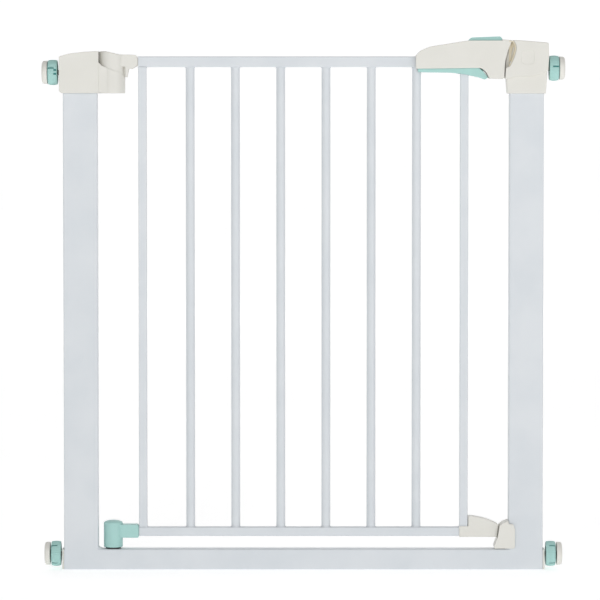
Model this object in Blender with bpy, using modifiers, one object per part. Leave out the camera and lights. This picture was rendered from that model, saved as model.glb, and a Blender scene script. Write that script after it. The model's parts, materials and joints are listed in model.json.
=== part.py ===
"""A pressure-mounted safety gate: a U-shaped steel frame with a barred door that swings in it.

The door hangs on a rising cam hinge on the left and latches on the right, with a squeeze trigger
under its handle and a lock slider on top. Four hand wheels screw the frame against the walls.
All sizes are in millimetres, and MM turns them into Blender's metres. The front faces -Y, the
origin is on the floor, under the middle of the sill.
"""
import bpy
import bmesh
from math import cos, pi, radians, sin, tau
from mathutils import Matrix, Vector

MM = 0.001

# Driving sizes: each one can be changed by itself.
FRAME_WIDTH = 700.0
FRAME_HEIGHT = 742.0
FRAME_DEPTH = 25.0
POST_WIDTH = 50.0
SILL_HEIGHT = 30.0
TUBE_WALL = 1.2
RAIL_DEPTH = 15.0
TOP_RAIL_HEIGHT = 15.5
BOTTOM_RAIL_HEIGHT = 13.0
UPRIGHT_WIDTH = 12.0
BAR_COUNT = 6
BAR_RADIUS = 6.5
BAR_WALL = 1.0
HOUSING_DEPTH = 38.0
HANDLE_DEPTH = 34.0
SHELL_WALL = 2.4
KNUCKLE_RADIUS = 19.0
CAM_RISE = 22.0
PIN_RADIUS = 4.0
SPINDLE_RADIUS = 4.0
WHEEL_RADIUS = 18.5
WHEEL_WIDTH = 14.0
WHEEL_SIDES = 32
CUP_RADIUS = 17.0
CUP_WIDTH = 6.8
PAD_THICKNESS = 1.5
SCREW_RADIUS = 1.5
SCREW_HEAD_RADIUS = 3.3
BOLT_DEPTH = 10.0
BOLT_HEIGHT = 14.0
TRIGGER_WALL = 2.0

# Clearances.
GAP = 0.3
RUNNING = 0.4
LATCH_GAP = 1.5
CAM_GAP = 0.7

# The frame's own planes.
RIGHT = FRAME_WIDTH / 2
LEFT = -RIGHT
LATCH_X = RIGHT - POST_WIDTH
HINGE_FACE_X = LEFT + POST_WIDTH
TOP = FRAME_HEIGHT
HALF_FRAME = FRAME_DEPTH / 2
HALF_HOUSING = HOUSING_DEPTH / 2
HOUSING_OVERHANG = 5.2

# The door's planes, measured from the hinge and from the latch post.
HINGE_X = HINGE_FACE_X + KNUCKLE_RADIUS + 2.5
DOOR_LEFT = HINGE_X + KNUCKLE_RADIUS + 19.0
DOOR_RIGHT = LATCH_X - 59.5
TOP_RAIL_Z = TOP - 8.0
TOP_RAIL_TOP = TOP_RAIL_Z + TOP_RAIL_HEIGHT
BOTTOM_RAIL_Z = SILL_HEIGHT + 18.8
BOTTOM_RAIL_TOP = BOTTOM_RAIL_Z + BOTTOM_RAIL_HEIGHT
HALF_RAIL = RAIL_DEPTH / 2
SPIGOT_LENGTH = 25.0
# The two end gaps are a little wider than the gaps between bars.
BAR_PITCH = (DOOR_RIGHT - DOOR_LEFT - UPRIGHT_WIDTH) / (BAR_COUNT + 1) - 1.0
LAST_BAR_X = (DOOR_LEFT + DOOR_RIGHT + BAR_PITCH * (BAR_COUNT - 1)) / 2

# The cam hinge, from its base up.
HOUSING_BOTTOM = TOP - 46.0
CAM_LOW = TOP - 23.0
CAM_HIGH = CAM_LOW + CAM_RISE
KNUCKLE_TOP = CAM_HIGH + 16.0
MOVING_RADIUS = KNUCKLE_RADIUS - 0.5
CAM_CORE_RADIUS = PIN_RADIUS + 4.0
STEP_CLEARANCE = radians(2.4)
STEP_OVERLAP = radians(4.0)
PIN_SQUARE = 5.6

# Wall bolts: the lower pair runs in the sill, the upper pair in the posts.
SPINDLE_LENGTH = 66.0
LOWER_BOLT_Z = WHEEL_RADIUS + 4.1
UPPER_LEFT_BOLT_Z = TOP - 15.6
UPPER_RIGHT_BOLT_Z = TOP - 9.4
PLUG_FLANGE = 3.0
PLUG_LENGTH = 20.0
BUSH_HALF = 8.0
UPPER_SEAT = 8.0
LOWER_SEAT = PLUG_FLANGE + 2.0
UPPER_REACH = 31.0
LOWER_REACH = 29.0

# The latch.
HALF_HANDLE = HANDLE_DEPTH / 2
HALF_BOLT = BOLT_DEPTH / 2
BOLT_Z = TOP + 4.0
BOLT_TOP = BOLT_Z + BOLT_HEIGHT
BOLT_AXIS_Z = BOLT_Z + BOLT_HEIGHT / 2
BOLT_LEFT = DOOR_RIGHT + 11.5
BOLT_TIP = LATCH_X + 3.0
LUG_SLOPE_X = DOOR_RIGHT + 17.1
LUG_BOTTOM = TOP - 10.5
LUG_SLOPE = 9.4
FINGER_X = LUG_SLOPE_X + RUNNING
SPRING_SEAT = 1.8
TRIGGER_INNER = HALF_RAIL + 1.5
TRIGGER_OUTER = TRIGGER_INNER + TRIGGER_WALL
TRIGGER_PIVOT_X = LATCH_X - 128.0
TRIGGER_PIVOT_Z = TOP - 4.0
SLIDER_LEFT = DOOR_RIGHT + 0.6
SLIDER_RIGHT = LATCH_X - 11.0
SLIDER_TRAVEL = 8.0
SLIDER_HALF = 7.5
KEEPER_WALL = 1.2
HANDLE_SCREWS = ((LATCH_X - 84.0, TOP + 16.5), (LATCH_X - 19.0, TOP - 11.0))
BOSS_RADIUS = 4.0

# Colour, roughness and metallic value of each finish.
FINISHES = {
    "powder_coat": ((0.70, 0.73, 0.76), 0.45, 0.0),
    "cream_plastic": ((0.78, 0.76, 0.70), 0.42, 0.0),
    "mint_plastic": ((0.42, 0.66, 0.62), 0.40, 0.0),
    "keeper_plastic": ((0.56, 0.52, 0.38), 0.50, 0.0),
    "zinc_steel": ((0.62, 0.62, 0.60), 0.35, 1.0),
    "black_nylon": ((0.03, 0.03, 0.03), 0.50, 0.0),
    "grey_rubber": ((0.20, 0.20, 0.21), 0.80, 0.0),
}

# Turns a shape built along +Z so that it runs along another axis.
ALONG = {
    "X": Matrix.Rotation(radians(90), 4, "Y"),
    "Y": Matrix.Rotation(radians(-90), 4, "X"),
    "Z": Matrix.Identity(4),
}


def new_collection(name):
    """Adds an empty collection to the scene."""
    collection = bpy.data.collections.new(name)
    bpy.context.scene.collection.children.link(collection)
    return collection


def add_object(name, data):
    """Makes an object in the gate's collection."""
    item = bpy.data.objects.new(name, data)
    GATE.objects.link(item)
    return item


def from_bmesh(name, shape):
    """Turns a finished bmesh into an object, with its faces outwards."""
    bmesh.ops.recalc_face_normals(shape, faces=shape.faces)
    mesh = bpy.data.meshes.new(name)
    shape.to_mesh(mesh)
    shape.free()
    return add_object(name, mesh)


def settle(item):
    """Replaces a curve, or an object with modifiers, by the closed mesh that it evaluates to."""
    bpy.context.view_layer.update()
    graph = bpy.context.evaluated_depsgraph_get()
    mesh = bpy.data.meshes.new_from_object(item.evaluated_get(graph))
    name = item.name
    place = item.matrix_world.copy()
    bpy.data.objects.remove(item)
    shape = bmesh.new()
    shape.from_mesh(mesh)
    bmesh.ops.remove_doubles(shape, verts=shape.verts, dist=0.001 * MM)
    settled = from_bmesh(name, shape)
    settled.matrix_world = place
    return settled


def box(name, x, y, z):
    """A box between the two limits given for each axis."""
    limits = (x, y, z)
    centre = Vector([(low + high) / 2 * MM for low, high in limits])
    size = [(high - low) * MM for low, high in limits]
    shape = bmesh.new()
    matrix = Matrix.Translation(centre) @ Matrix.Diagonal((*size, 1.0))
    bmesh.ops.create_cube(shape, size=1.0, matrix=matrix)
    return from_bmesh(name, shape)


def rod(name, start, axis, length, radius, segments=24):
    """A cylinder that runs from start along the named axis."""
    shape = bmesh.new()
    place = Matrix.Translation(Vector(start) * MM) @ ALONG[axis]
    matrix = place @ Matrix.Translation((0.0, 0.0, length / 2 * MM))
    bmesh.ops.create_cone(
        shape, cap_ends=True, segments=segments, radius1=radius * MM, radius2=radius * MM,
        depth=length * MM, matrix=matrix)
    return from_bmesh(name, shape)


def turned(name, profile, start, axis, segments=32):
    """Spins (radius, height) points around the named axis; a profile off the axis makes a ring."""
    mesh = bpy.data.meshes.new(name)
    points = [(radius * MM, 0.0, height * MM) for radius, height in profile]
    edges = [(index, index + 1) for index in range(len(points) - 1)]
    if profile[0][0] > 0:
        edges.append((len(points) - 1, 0))
    mesh.from_pydata(points, edges, [])
    item = add_object(name, mesh)
    item.matrix_world = Matrix.Translation(Vector(start) * MM) @ ALONG[axis]
    spin = item.modifiers.new("Spin", "SCREW")
    spin.angle = tau
    spin.steps = segments
    spin.render_steps = segments
    spin.use_merge_vertices = True
    spin.merge_threshold = 0.001 * MM
    return settle(item)


def plate(name, points, limits, plane="XZ"):
    """Extrudes a flat outline between two limits, along Y for an XZ outline or along Z for XY."""
    curve = bpy.data.curves.new(name, "CURVE")
    curve.dimensions = "2D"
    curve.fill_mode = "BOTH"
    curve.extrude = (limits[1] - limits[0]) / 2 * MM
    spline = curve.splines.new("POLY")
    spline.points.add(len(points) - 1)
    for point, (across, up) in zip(spline.points, points):
        point.co = (across * MM, up * MM, 0.0, 1.0)
    spline.use_cyclic_u = True
    item = add_object(name, curve)
    middle = (limits[0] + limits[1]) / 2 * MM
    if plane == "XZ":
        item.matrix_world = Matrix.Translation((0.0, middle, 0.0)) @ Matrix.Rotation(pi / 2, 4, "X")
    else:
        item.matrix_world = Matrix.Translation((0.0, 0.0, middle))
    return settle(item)


def coil(name, start, length, radius, wire, turns):
    """A compression spring along +X."""
    steps = 12
    curve = bpy.data.curves.new(name, "CURVE")
    curve.dimensions = "3D"
    curve.bevel_depth = wire * MM
    curve.bevel_resolution = 2
    curve.use_fill_caps = True
    spline = curve.splines.new("POLY")
    count = turns * steps
    spline.points.add(count)
    for index, point in enumerate(spline.points):
        angle = tau * index / steps
        along = wire + (length - 2 * wire) * index / count
        point.co = (along * MM, radius * cos(angle) * MM, radius * sin(angle) * MM, 1.0)
    item = add_object(name, curve)
    item.location = Vector(start) * MM
    return settle(item)


def tube(name, x, y, z, axis):
    """A rectangular steel tube that is open at both ends along the named axis."""
    outer = box(name, x, y, z)
    limits = {"X": x, "Y": y, "Z": z}
    for key, (low, high) in limits.items():
        grow = TUBE_WALL if key == axis else -TUBE_WALL
        limits[key] = (low - grow, high + grow)
    cut(outer, box(name + "_bore", limits["X"], limits["Y"], limits["Z"]))
    return outer


def combine(item, tools, operation):
    """Adds one Boolean for each tool and files the tools with the cutters."""
    for tool in tools:
        modifier = item.modifiers.new(tool.name, "BOOLEAN")
        modifier.operation = operation
        modifier.solver = "EXACT"
        modifier.object = tool
        GATE.objects.unlink(tool)
        CUTTERS.objects.link(tool)
        tool.hide_render = True
        tool.display_type = "WIRE"


def cut(item, *tools):
    """Takes the tools away from an object."""
    combine(item, tools, "DIFFERENCE")


def join(item, *tools):
    """Merges the tools into an object."""
    combine(item, tools, "UNION")


def inset(points, wall):
    """Moves every side of a clockwise outline inwards by the wall."""
    moved = []
    for index, here in enumerate(points):
        before = Vector(here) - Vector(points[index - 1])
        after = Vector(points[(index + 1) % len(points)]) - Vector(here)
        in_before = Vector((before.y, -before.x)).normalized()
        in_after = Vector((after.y, -after.x)).normalized()
        shift = (in_before + in_after) * wall / (1.0 + in_before.dot(in_after))
        moved.append(tuple(Vector(here) + shift))
    return moved


def finish(item, kind):
    """Gives an object a material of its own."""
    colour, roughness, metallic = FINISHES[kind]
    material = bpy.data.materials.new(item.name + "_" + kind)
    material.use_nodes = True
    shader = material.node_tree.nodes["Principled BSDF"]
    shader.inputs["Base Color"].default_value = (*colour, 1.0)
    shader.inputs["Roughness"].default_value = roughness
    shader.inputs["Metallic"].default_value = metallic
    item.data.materials.clear()
    item.data.materials.append(material)
    return item


def joint_axis(name, x, y, z):
    """An empty on a joint's axis, which carries the pieces that move with the joint."""
    empty = add_object(name, None)
    empty.location = Vector((x, y, z)) * MM
    return empty


def ride(empty, *items):
    """Moves each piece's origin onto the joint's axis and parents it there."""
    for item in items:
        item.data.transform(Matrix.Translation(-empty.location) @ item.matrix_world)
        item.parent = empty
        item.matrix_world = Matrix.Translation(empty.location)
        item.matrix_parent_inverse = Matrix.Identity(4)
        item.location = (0.0, 0.0, 0.0)
        item.rotation_euler = (0.0, 0.0, 0.0)


def near_latch(points):
    """Moves points measured from the top inner corner of the latch post into place."""
    return [(LATCH_X + across, TOP + up) for across, up in points]


def screw(name, x, z, rear, front):
    """A pan-head screw that goes in from the rear."""
    head = 2.6
    profile = ((0.0, front), (SCREW_RADIUS, front), (SCREW_RADIUS, rear - head),
               (SCREW_HEAD_RADIUS, rear - head), (SCREW_HEAD_RADIUS, rear - 0.8),
               (SCREW_HEAD_RADIUS - 1.2, rear), (0.0, rear))
    return finish(turned(name, profile, (x, 0.0, z), "Y", 16), "zinc_steel")


def screw_hole(name, x, z, rear, front):
    """The clearance around such a screw, with room for its head."""
    head = 2.6 + GAP
    hole = SCREW_RADIUS + GAP
    profile = ((0.0, front), (hole, front), (hole, rear - head),
               (SCREW_HEAD_RADIUS + GAP, rear - head), (SCREW_HEAD_RADIUS + GAP, rear + 5.0),
               (0.0, rear + 5.0))
    return turned(name, profile, (x, 0.0, z), "Y", 16)


# ---- The fixed frame

def build_sill():
    """The sill: a flat tube across the floor, with a hole for the lower pivot pin."""
    sill = tube("sill", (LEFT, RIGHT), (-HALF_FRAME, HALF_FRAME), (0.0, SILL_HEIGHT), "X")
    hole = rod("pivot_hole", (HINGE_X, 0.0, SILL_HEIGHT - 5.0), "Z", 10.0, PIN_RADIUS + GAP)
    cut(sill, hole)
    finish(sill, "powder_coat")
    for side, name in ((-1, "left"), (1, "right")):
        build_sill_plug("sill_plug_" + name, side)


def build_sill_plug(name, side):
    """A plug in the sill's end, with a flange and a bore for the lower spindle."""
    inner = SILL_HEIGHT - TUBE_WALL - GAP
    half = HALF_FRAME - TUBE_WALL - GAP
    ends = sorted((side * (RIGHT - PLUG_LENGTH), side * (RIGHT + 1.0)))
    flange_ends = sorted((side * (RIGHT + GAP), side * (RIGHT + PLUG_FLANGE)))
    plug = box(name, ends, (-half, half), (TUBE_WALL + GAP, inner))
    flange = box(name + "_flange", flange_ends, (-HALF_FRAME, HALF_FRAME), (GAP, SILL_HEIGHT))
    join(plug, flange)
    start = min(ends) - 5.0
    bore = rod(name + "_bore", (start, 0.0, LOWER_BOLT_Z), "X", 40.0, SPINDLE_RADIUS + RUNNING)
    cut(plug, bore)
    finish(plug, "cream_plastic")


def build_post(name, side, bolt_z, screw_z):
    """One post: a tube on the sill, with the holes for its wall bolt and its cap's screw."""
    ends = sorted((side * (RIGHT - POST_WIDTH), side * RIGHT))
    post = tube(name, ends, (-HALF_FRAME, HALF_FRAME), (SILL_HEIGHT + GAP, TOP), "Z")
    start = (side * RIGHT - 5.0, 0.0, bolt_z)
    bolt_hole = rod(name + "_bolt_hole", start, "X", 10.0, SPINDLE_RADIUS + RUNNING)
    middle = side * (RIGHT - POST_WIDTH / 2)
    screw_start = (middle, HALF_FRAME - 5.0, screw_z)
    pilot = rod(name + "_screw_hole", screw_start, "Y", 10.0, SCREW_RADIUS + GAP, 16)
    cut(post, bolt_hole, pilot)
    finish(post, "powder_coat")


def build_post_bush(name, side, bolt_z):
    """The threaded block inside a post that the upper spindle runs in."""
    ends = sorted((side * (LATCH_X + TUBE_WALL + GAP + 1.5), side * (RIGHT - TUBE_WALL - GAP)))
    half = min(BUSH_HALF, HALF_FRAME - TUBE_WALL - GAP)
    up = min(BUSH_HALF, TOP - GAP - bolt_z)
    bush = box(name, ends, (-half, half), (bolt_z - up, bolt_z + up))
    bore = rod(name + "_bore", (min(ends) - 5.0, 0.0, bolt_z), "X", POST_WIDTH + 10.0,
               SPINDLE_RADIUS + RUNNING)
    cut(bush, bore)
    finish(bush, "zinc_steel")


def build_catch():
    """The lower catch: two cheeks that straddle the latch post and a block that backs the nose."""
    cheek = HALF_FRAME + GAP
    outside = cheek + 4.2
    foot = SILL_HEIGHT + 1.4
    nose_low = SILL_HEIGHT + 17.5
    outline = ((LATCH_X + 9.5, foot), (LATCH_X - 21.0, foot), (LATCH_X - 21.0, nose_low - 13.0),
               (LATCH_X - 15.8, nose_low), (LATCH_X - 13.0, nose_low + 18.0),
               (LATCH_X - 9.0, nose_low + 22.5), (LATCH_X, nose_low + 25.0),
               (LATCH_X + 0.5, nose_low + 20.0), (LATCH_X + 7.5, nose_low + 19.6),
               (LATCH_X + 9.5, nose_low + 17.0))
    catch = plate("lower_catch", outline, (-outside, outside))
    socket = box("catch_socket", (LATCH_X - GAP, LATCH_X + 20.0), (-cheek, cheek),
                 (foot - 10.0, nose_low + 60.0))
    recess = box("catch_recess", (LATCH_X - 40.0, LATCH_X - 12.0), (-cheek, HALF_RAIL + 2.8),
                 (nose_low - 1.5, nose_low + 60.0))
    pilot = rod("catch_pilot", (LATCH_X - 10.0, 0.0, nose_low + 4.0), "X", 20.0,
                SCREW_RADIUS + GAP, 16)
    seat = rod("catch_screw_seat", (LATCH_X - 30.0, 0.0, nose_low + 4.0), "X", 26.2,
               SCREW_HEAD_RADIUS + GAP, 16)
    cut(catch, socket, recess, pilot, seat)
    finish(catch, "cream_plastic")
    start = (LATCH_X - 6.5, 0.0, nose_low + 4.0)
    profile = ((0.0, 0.0), (SCREW_HEAD_RADIUS, 0.0), (SCREW_HEAD_RADIUS, 2.4),
               (SCREW_RADIUS, 2.4), (SCREW_RADIUS, 6.0), (0.0, 6.0))
    finish(turned("catch_screw", profile, start, "X", 16), "zinc_steel")


def build_lower_pivot():
    """The pin that stands in the sill under the door's foot, and the washer that the foot turns on."""
    under = SILL_HEIGHT - TUBE_WALL - GAP
    profile = ((0.0, under - 16.0), (PIN_RADIUS, under - 16.0), (PIN_RADIUS, under - 2.5),
               (PIN_RADIUS + 3.0, under - 2.5), (PIN_RADIUS + 3.0, under), (PIN_RADIUS, under),
               (PIN_RADIUS, SILL_HEIGHT + 25.0), (PIN_RADIUS - 1.0, SILL_HEIGHT + 26.0),
               (0.0, SILL_HEIGHT + 26.0))
    finish(turned("lower_pivot_pin", profile, (HINGE_X, 0.0, 0.0), "Z", 24), "zinc_steel")
    ring = ((PIN_RADIUS + GAP, GAP), (11.0, GAP), (11.0, 2.2), (PIN_RADIUS + GAP, 2.2))
    start = (HINGE_X, 0.0, SILL_HEIGHT)
    finish(turned("lower_pivot_washer", ring, start, "Z"), "black_nylon")


def cam_ramp(name, high_angle, sweep, radii, high, flat):
    """Half a turn of cam: a block wrapped round the hinge, with one face that slopes as it turns."""
    steps = 32
    shape = bmesh.new()
    bmesh.ops.create_cube(shape, size=1.0)
    long_edges = [edge for edge in shape.edges if edge.verts[0].co.x * edge.verts[1].co.x < 0]
    bmesh.ops.subdivide_edges(shape, edges=long_edges, cuts=steps - 1, use_grid_fill=True)
    for vert in shape.verts:
        angle = sweep[0] + (vert.co.x + 0.5) * (sweep[1] - sweep[0])
        radius = radii[0] + (vert.co.y + 0.5) * (radii[1] - radii[0])
        turn = min(max((angle - high_angle) / pi, 0.0), 1.0)
        sloped = high - CAM_RISE * turn
        bottom, top = sorted((flat, sloped))
        height = top if vert.co.z > 0 else bottom
        vert.co = Vector((HINGE_X + radius * cos(angle), radius * sin(angle), height)) * MM
    return from_bmesh(name, shape)


def build_hinge_cap():
    """The cap on the hinge post, with the fixed half of the cam hinge beside it."""
    outer = LEFT - HOUSING_OVERHANG
    inner = HINGE_FACE_X + 2.2
    outline = ((outer, HOUSING_BOTTOM + 5.0), (outer, TOP + 6.0), (outer + 1.6, TOP + 8.2),
               (LEFT + 8.0, TOP + 11.4), (LEFT + POST_WIDTH * 0.6, TOP + 14.0),
               (inner, KNUCKLE_TOP), (inner, HOUSING_BOTTOM), (outer + 5.0, HOUSING_BOTTOM),
               (outer + 1.5, HOUSING_BOTTOM + 1.5))
    cap = plate("hinge_cap", outline, (-HALF_HOUSING, HALF_HOUSING))
    filler_outline = ((inner - 1.0, HOUSING_BOTTOM + 1.0), (inner - 1.0, CAM_HIGH),
                      (HINGE_X - 18.0, CAM_HIGH - 1.5), (HINGE_X - 15.0, CAM_HIGH - 4.2),
                      (HINGE_X - 11.0, CAM_HIGH - 6.4), (HINGE_X - 5.0, CAM_HIGH - 9.2),
                      (HINGE_X - 5.0, HOUSING_BOTTOM + 1.0))
    filler = plate("hinge_filler", filler_outline, (-HALF_HOUSING + 1.0, HALF_HOUSING - 1.0))
    sweep = rod("hinge_sweep", (HINGE_X, 0.0, CAM_LOW - 1.0), "Z", 60.0, KNUCKLE_RADIUS - 0.2, 48)
    cut(filler, sweep)
    base = rod("hinge_base", (HINGE_X, 0.0, HOUSING_BOTTOM), "Z", CAM_LOW - 0.4 - HOUSING_BOTTOM,
               KNUCKLE_RADIUS, 48)
    radii = (CAM_CORE_RADIUS + RUNNING, KNUCKLE_RADIUS)
    ramps = [cam_ramp("fixed_ramp_%d" % index, start, (start, start + pi + STEP_OVERLAP), radii,
                      CAM_HIGH, CAM_LOW - 8.0)
             for index, start in enumerate((0.0, pi))]
    join(cap, base, filler, *ramps)
    socket = box("hinge_cap_socket", (LEFT - GAP, HINGE_FACE_X + GAP),
                 (-HALF_FRAME - GAP, HALF_FRAME + GAP), (HOUSING_BOTTOM - 5.0, TOP + GAP))
    keyway = box("hinge_keyway",
                 (HINGE_X - PIN_SQUARE / 2 - RUNNING, HINGE_X + PIN_SQUARE / 2 + RUNNING),
                 (-PIN_SQUARE / 2 - RUNNING, PIN_SQUARE / 2 + RUNNING),
                 (HOUSING_BOTTOM - 5.0, CAM_LOW + 5.0))
    bolt = rod("hinge_cap_bolt_hole", (LEFT - 15.0, 0.0, UPPER_LEFT_BOLT_Z), "X", 20.0,
               SPINDLE_RADIUS + RUNNING)
    middle = LEFT + POST_WIDTH / 2
    hole = screw_hole("hinge_cap_screw_hole", middle, TOP - 32.0, HALF_HOUSING, 0.0)
    cut(cap, socket, keyway, bolt, hole)
    finish(cap, "cream_plastic")
    screw("hinge_cap_screw", middle, TOP - 32.0, HALF_HOUSING - 0.2, HALF_FRAME - 5.0)


def build_receiver():
    """The cap on the latch post, with the pocket that the bolt springs into."""
    outer = RIGHT + 4.5
    outline = near_latch(((-6.6, -24.5), (-5.6, -1.4), (-1.4, 15.0), (5.0, 31.4)))
    outline += [(RIGHT + 4.0, TOP + 27.6), (RIGHT + 6.4, TOP + 24.5), (RIGHT + 7.0, TOP + 8.0),
                (outer, TOP - 20.0), (outer - 1.0, TOP - 26.0), (outer - 1.6, HOUSING_BOTTOM)]
    outline += near_latch(((-4.0, -46.5), (-4.8, -30.0)))
    receiver = plate("latch_receiver", outline, (-HALF_HOUSING, HALF_HOUSING))
    socket = box("receiver_socket", (LATCH_X - GAP, RIGHT + GAP),
                 (-HALF_FRAME - GAP, HALF_FRAME + GAP), (HOUSING_BOTTOM - 5.0, TOP + GAP))
    lining = HALF_BOLT + 0.7 + KEEPER_WALL + GAP
    pocket = box("keeper_pocket", (LATCH_X - 20.0, LATCH_X + 7.5), (-lining, lining),
                 (BOLT_Z - 2.7, BOLT_TOP + 2.7))
    ramp = ((LATCH_X - 10.0, -HALF_HOUSING - 1.0), (LATCH_X + 9.5, -HALF_HOUSING - 1.0),
            (LATCH_X + 2.5, -lining - 1.8), (LATCH_X - 10.0, -lining - 1.8))
    scallop = plate("receiver_scallop", ramp, (TOP - 8.5, TOP + 28.0), "XY")
    bolt = rod("receiver_bolt_hole", (RIGHT - 5.0, 0.0, UPPER_RIGHT_BOLT_Z), "X", 20.0,
               SPINDLE_RADIUS + RUNNING)
    middle = RIGHT - POST_WIDTH / 2
    hole = screw_hole("receiver_screw_hole", middle, TOP - 32.0, HALF_HOUSING, 0.0)
    cut(receiver, socket, pocket, scallop, bolt, hole)
    finish(receiver, "cream_plastic")
    screw("receiver_screw", middle, TOP - 32.0, HALF_HOUSING - 0.2, HALF_FRAME - 5.0)
    build_keeper(lining - GAP)


def build_keeper(half):
    """The lining of the receiver's pocket, which takes the bolt's wear."""
    low, high = BOLT_Z - 2.4, BOLT_TOP + 2.4
    outline = ((LATCH_X - 3.4, low), (LATCH_X + 2.0, high), (LATCH_X + 7.2, high),
               (LATCH_X + 7.2, low))
    keeper = plate("keeper_insert", outline, (-half, half))
    inside = half - KEEPER_WALL
    room = box("keeper_room", (LATCH_X - 20.0, LATCH_X + 7.2 - KEEPER_WALL), (-inside, inside),
               (low + KEEPER_WALL, high - KEEPER_WALL))
    cut(keeper, room)
    finish(keeper, "keeper_plastic")


# ---- The door

def build_door_frame():
    """The door's welded frame: two rails, two uprights and the round bars between them."""
    depth = (-HALF_RAIL, HALF_RAIL)
    width = (DOOR_LEFT, DOOR_RIGHT)
    parts = [tube("door_top_rail", width, depth, (TOP_RAIL_Z, TOP_RAIL_TOP), "X"),
             tube("door_bottom_rail", width, depth, (BOTTOM_RAIL_Z, BOTTOM_RAIL_TOP), "X")]
    cut(parts[0], rod("rail_pin_hole", (TRIGGER_PIVOT_X, -RAIL_DEPTH, TRIGGER_PIVOT_Z), "Y",
                      2 * RAIL_DEPTH, SCREW_RADIUS + GAP, 16))
    low, high = BOTTOM_RAIL_TOP + GAP, TOP_RAIL_Z - GAP
    hinge_side = (DOOR_LEFT, DOOR_LEFT + UPRIGHT_WIDTH)
    latch_side = (DOOR_RIGHT - UPRIGHT_WIDTH, DOOR_RIGHT)
    parts.append(tube("door_hinge_upright", hinge_side, depth, (low, high), "Z"))
    parts.append(tube("door_latch_upright", latch_side, depth, (low, high), "Z"))
    inside = BAR_RADIUS - BAR_WALL
    wall = ((inside, 0.0), (BAR_RADIUS, 0.0), (BAR_RADIUS, high - low), (inside, high - low))
    for index in range(BAR_COUNT):
        start = (LAST_BAR_X - BAR_PITCH * (BAR_COUNT - 1 - index), 0.0, low)
        parts.append(turned("bar_%d" % (index + 1), wall, start, "Z", 24))
    for part in parts:
        finish(part, "powder_coat")
    return parts


def build_upper_hinge_arm():
    """The moving half of the cam hinge, its arm and the spigot inside the top rail."""
    disc_z = CAM_HIGH + CAM_GAP + 0.5
    body = rod("upper_hinge_arm", (HINGE_X, 0.0, disc_z), "Z", KNUCKLE_TOP - disc_z,
               MOVING_RADIUS, 48)
    core = rod("cam_core", (HINGE_X, 0.0, CAM_LOW + CAM_GAP), "Z", CAM_RISE + 6.0,
               CAM_CORE_RADIUS, 32)
    radii = (CAM_CORE_RADIUS - 0.5, MOVING_RADIUS)
    ramps = [cam_ramp("moving_ramp_%d" % index, start,
                      (start - STEP_OVERLAP, start + pi - STEP_CLEARANCE), radii,
                      CAM_HIGH + CAM_GAP, CAM_HIGH + 6.0)
             for index, start in enumerate((0.0, pi))]
    half = HALF_RAIL + 1.5
    arm_start = HINGE_X + KNUCKLE_RADIUS + 0.6
    arm = box("hinge_arm_lower", (arm_start, DOOR_LEFT - 0.5), (-half, half),
              (TOP - 11.0, CAM_HIGH + 3.0))
    nose = box("hinge_arm_nose", (arm_start, arm_start + 4.2), (-half + 1.0, half - 1.0),
               (CAM_LOW + CAM_GAP, TOP - 9.0))
    bridge = box("hinge_arm_bridge", (HINGE_X + 10.0, DOOR_LEFT - 0.5), (-half, half),
                 (disc_z + 0.3, TOP_RAIL_TOP + 2.8))
    room = TUBE_WALL + GAP
    spigot = box("hinge_arm_spigot", (DOOR_LEFT - 2.0, DOOR_LEFT + SPIGOT_LENGTH),
                 (-HALF_RAIL + room, HALF_RAIL - room), (TOP_RAIL_Z + room, TOP_RAIL_TOP - room))
    join(body, core, *ramps, bridge, arm, nose, spigot)
    bore = rod("hinge_arm_bore", (HINGE_X, 0.0, CAM_LOW - 5.0), "Z",
               KNUCKLE_TOP - 4.6 - (CAM_LOW - 5.0), PIN_RADIUS + RUNNING)
    cut(body, bore)
    return finish(body, "cream_plastic")


def build_hinge_pin():
    """The upper hinge pin: it rises with the door, and its square tail keeps it from turning."""
    pin = rod("upper_hinge_pin", (HINGE_X, 0.0, CAM_LOW), "Z", KNUCKLE_TOP - 5.0 - CAM_LOW,
              PIN_RADIUS)
    half = PIN_SQUARE / 2
    tail = box("pin_tail", (HINGE_X - half, HINGE_X + half), (-half, half),
               (HOUSING_BOTTOM + 4.0, CAM_LOW + 2.0))
    join(pin, tail)
    return finish(pin, "zinc_steel")


def build_hinge_foot():
    """The door's foot: a domed barrel over the pivot pin, its arm and a spigot in the rail."""
    base = SILL_HEIGHT + 2.5
    radius = 13.9
    dome = ((radius, 35.0), (radius * 0.92, 37.4), (radius * 0.7, 39.0), (0.0, 39.6))
    bore = PIN_RADIUS + RUNNING
    profile = ((0.0, 24.3), (bore, 24.3), (bore, 0.0), (radius, 0.0)) + dome
    foot = turned("lower_hinge_foot", profile, (HINGE_X, 0.0, base), "Z")
    half = HALF_RAIL + 1.5
    arm = box("foot_arm", (HINGE_X + 10.0, DOOR_LEFT - 0.5), (-half, half),
              (BOTTOM_RAIL_Z - 2.8, BOTTOM_RAIL_TOP + 4.2))
    room = TUBE_WALL + GAP
    spigot = box("foot_spigot", (DOOR_LEFT - 2.0, DOOR_LEFT + SPIGOT_LENGTH),
                 (-HALF_RAIL + room, HALF_RAIL - room),
                 (BOTTOM_RAIL_Z + room, BOTTOM_RAIL_TOP - room))
    join(foot, arm, spigot)
    return finish(foot, "mint_plastic")


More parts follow.
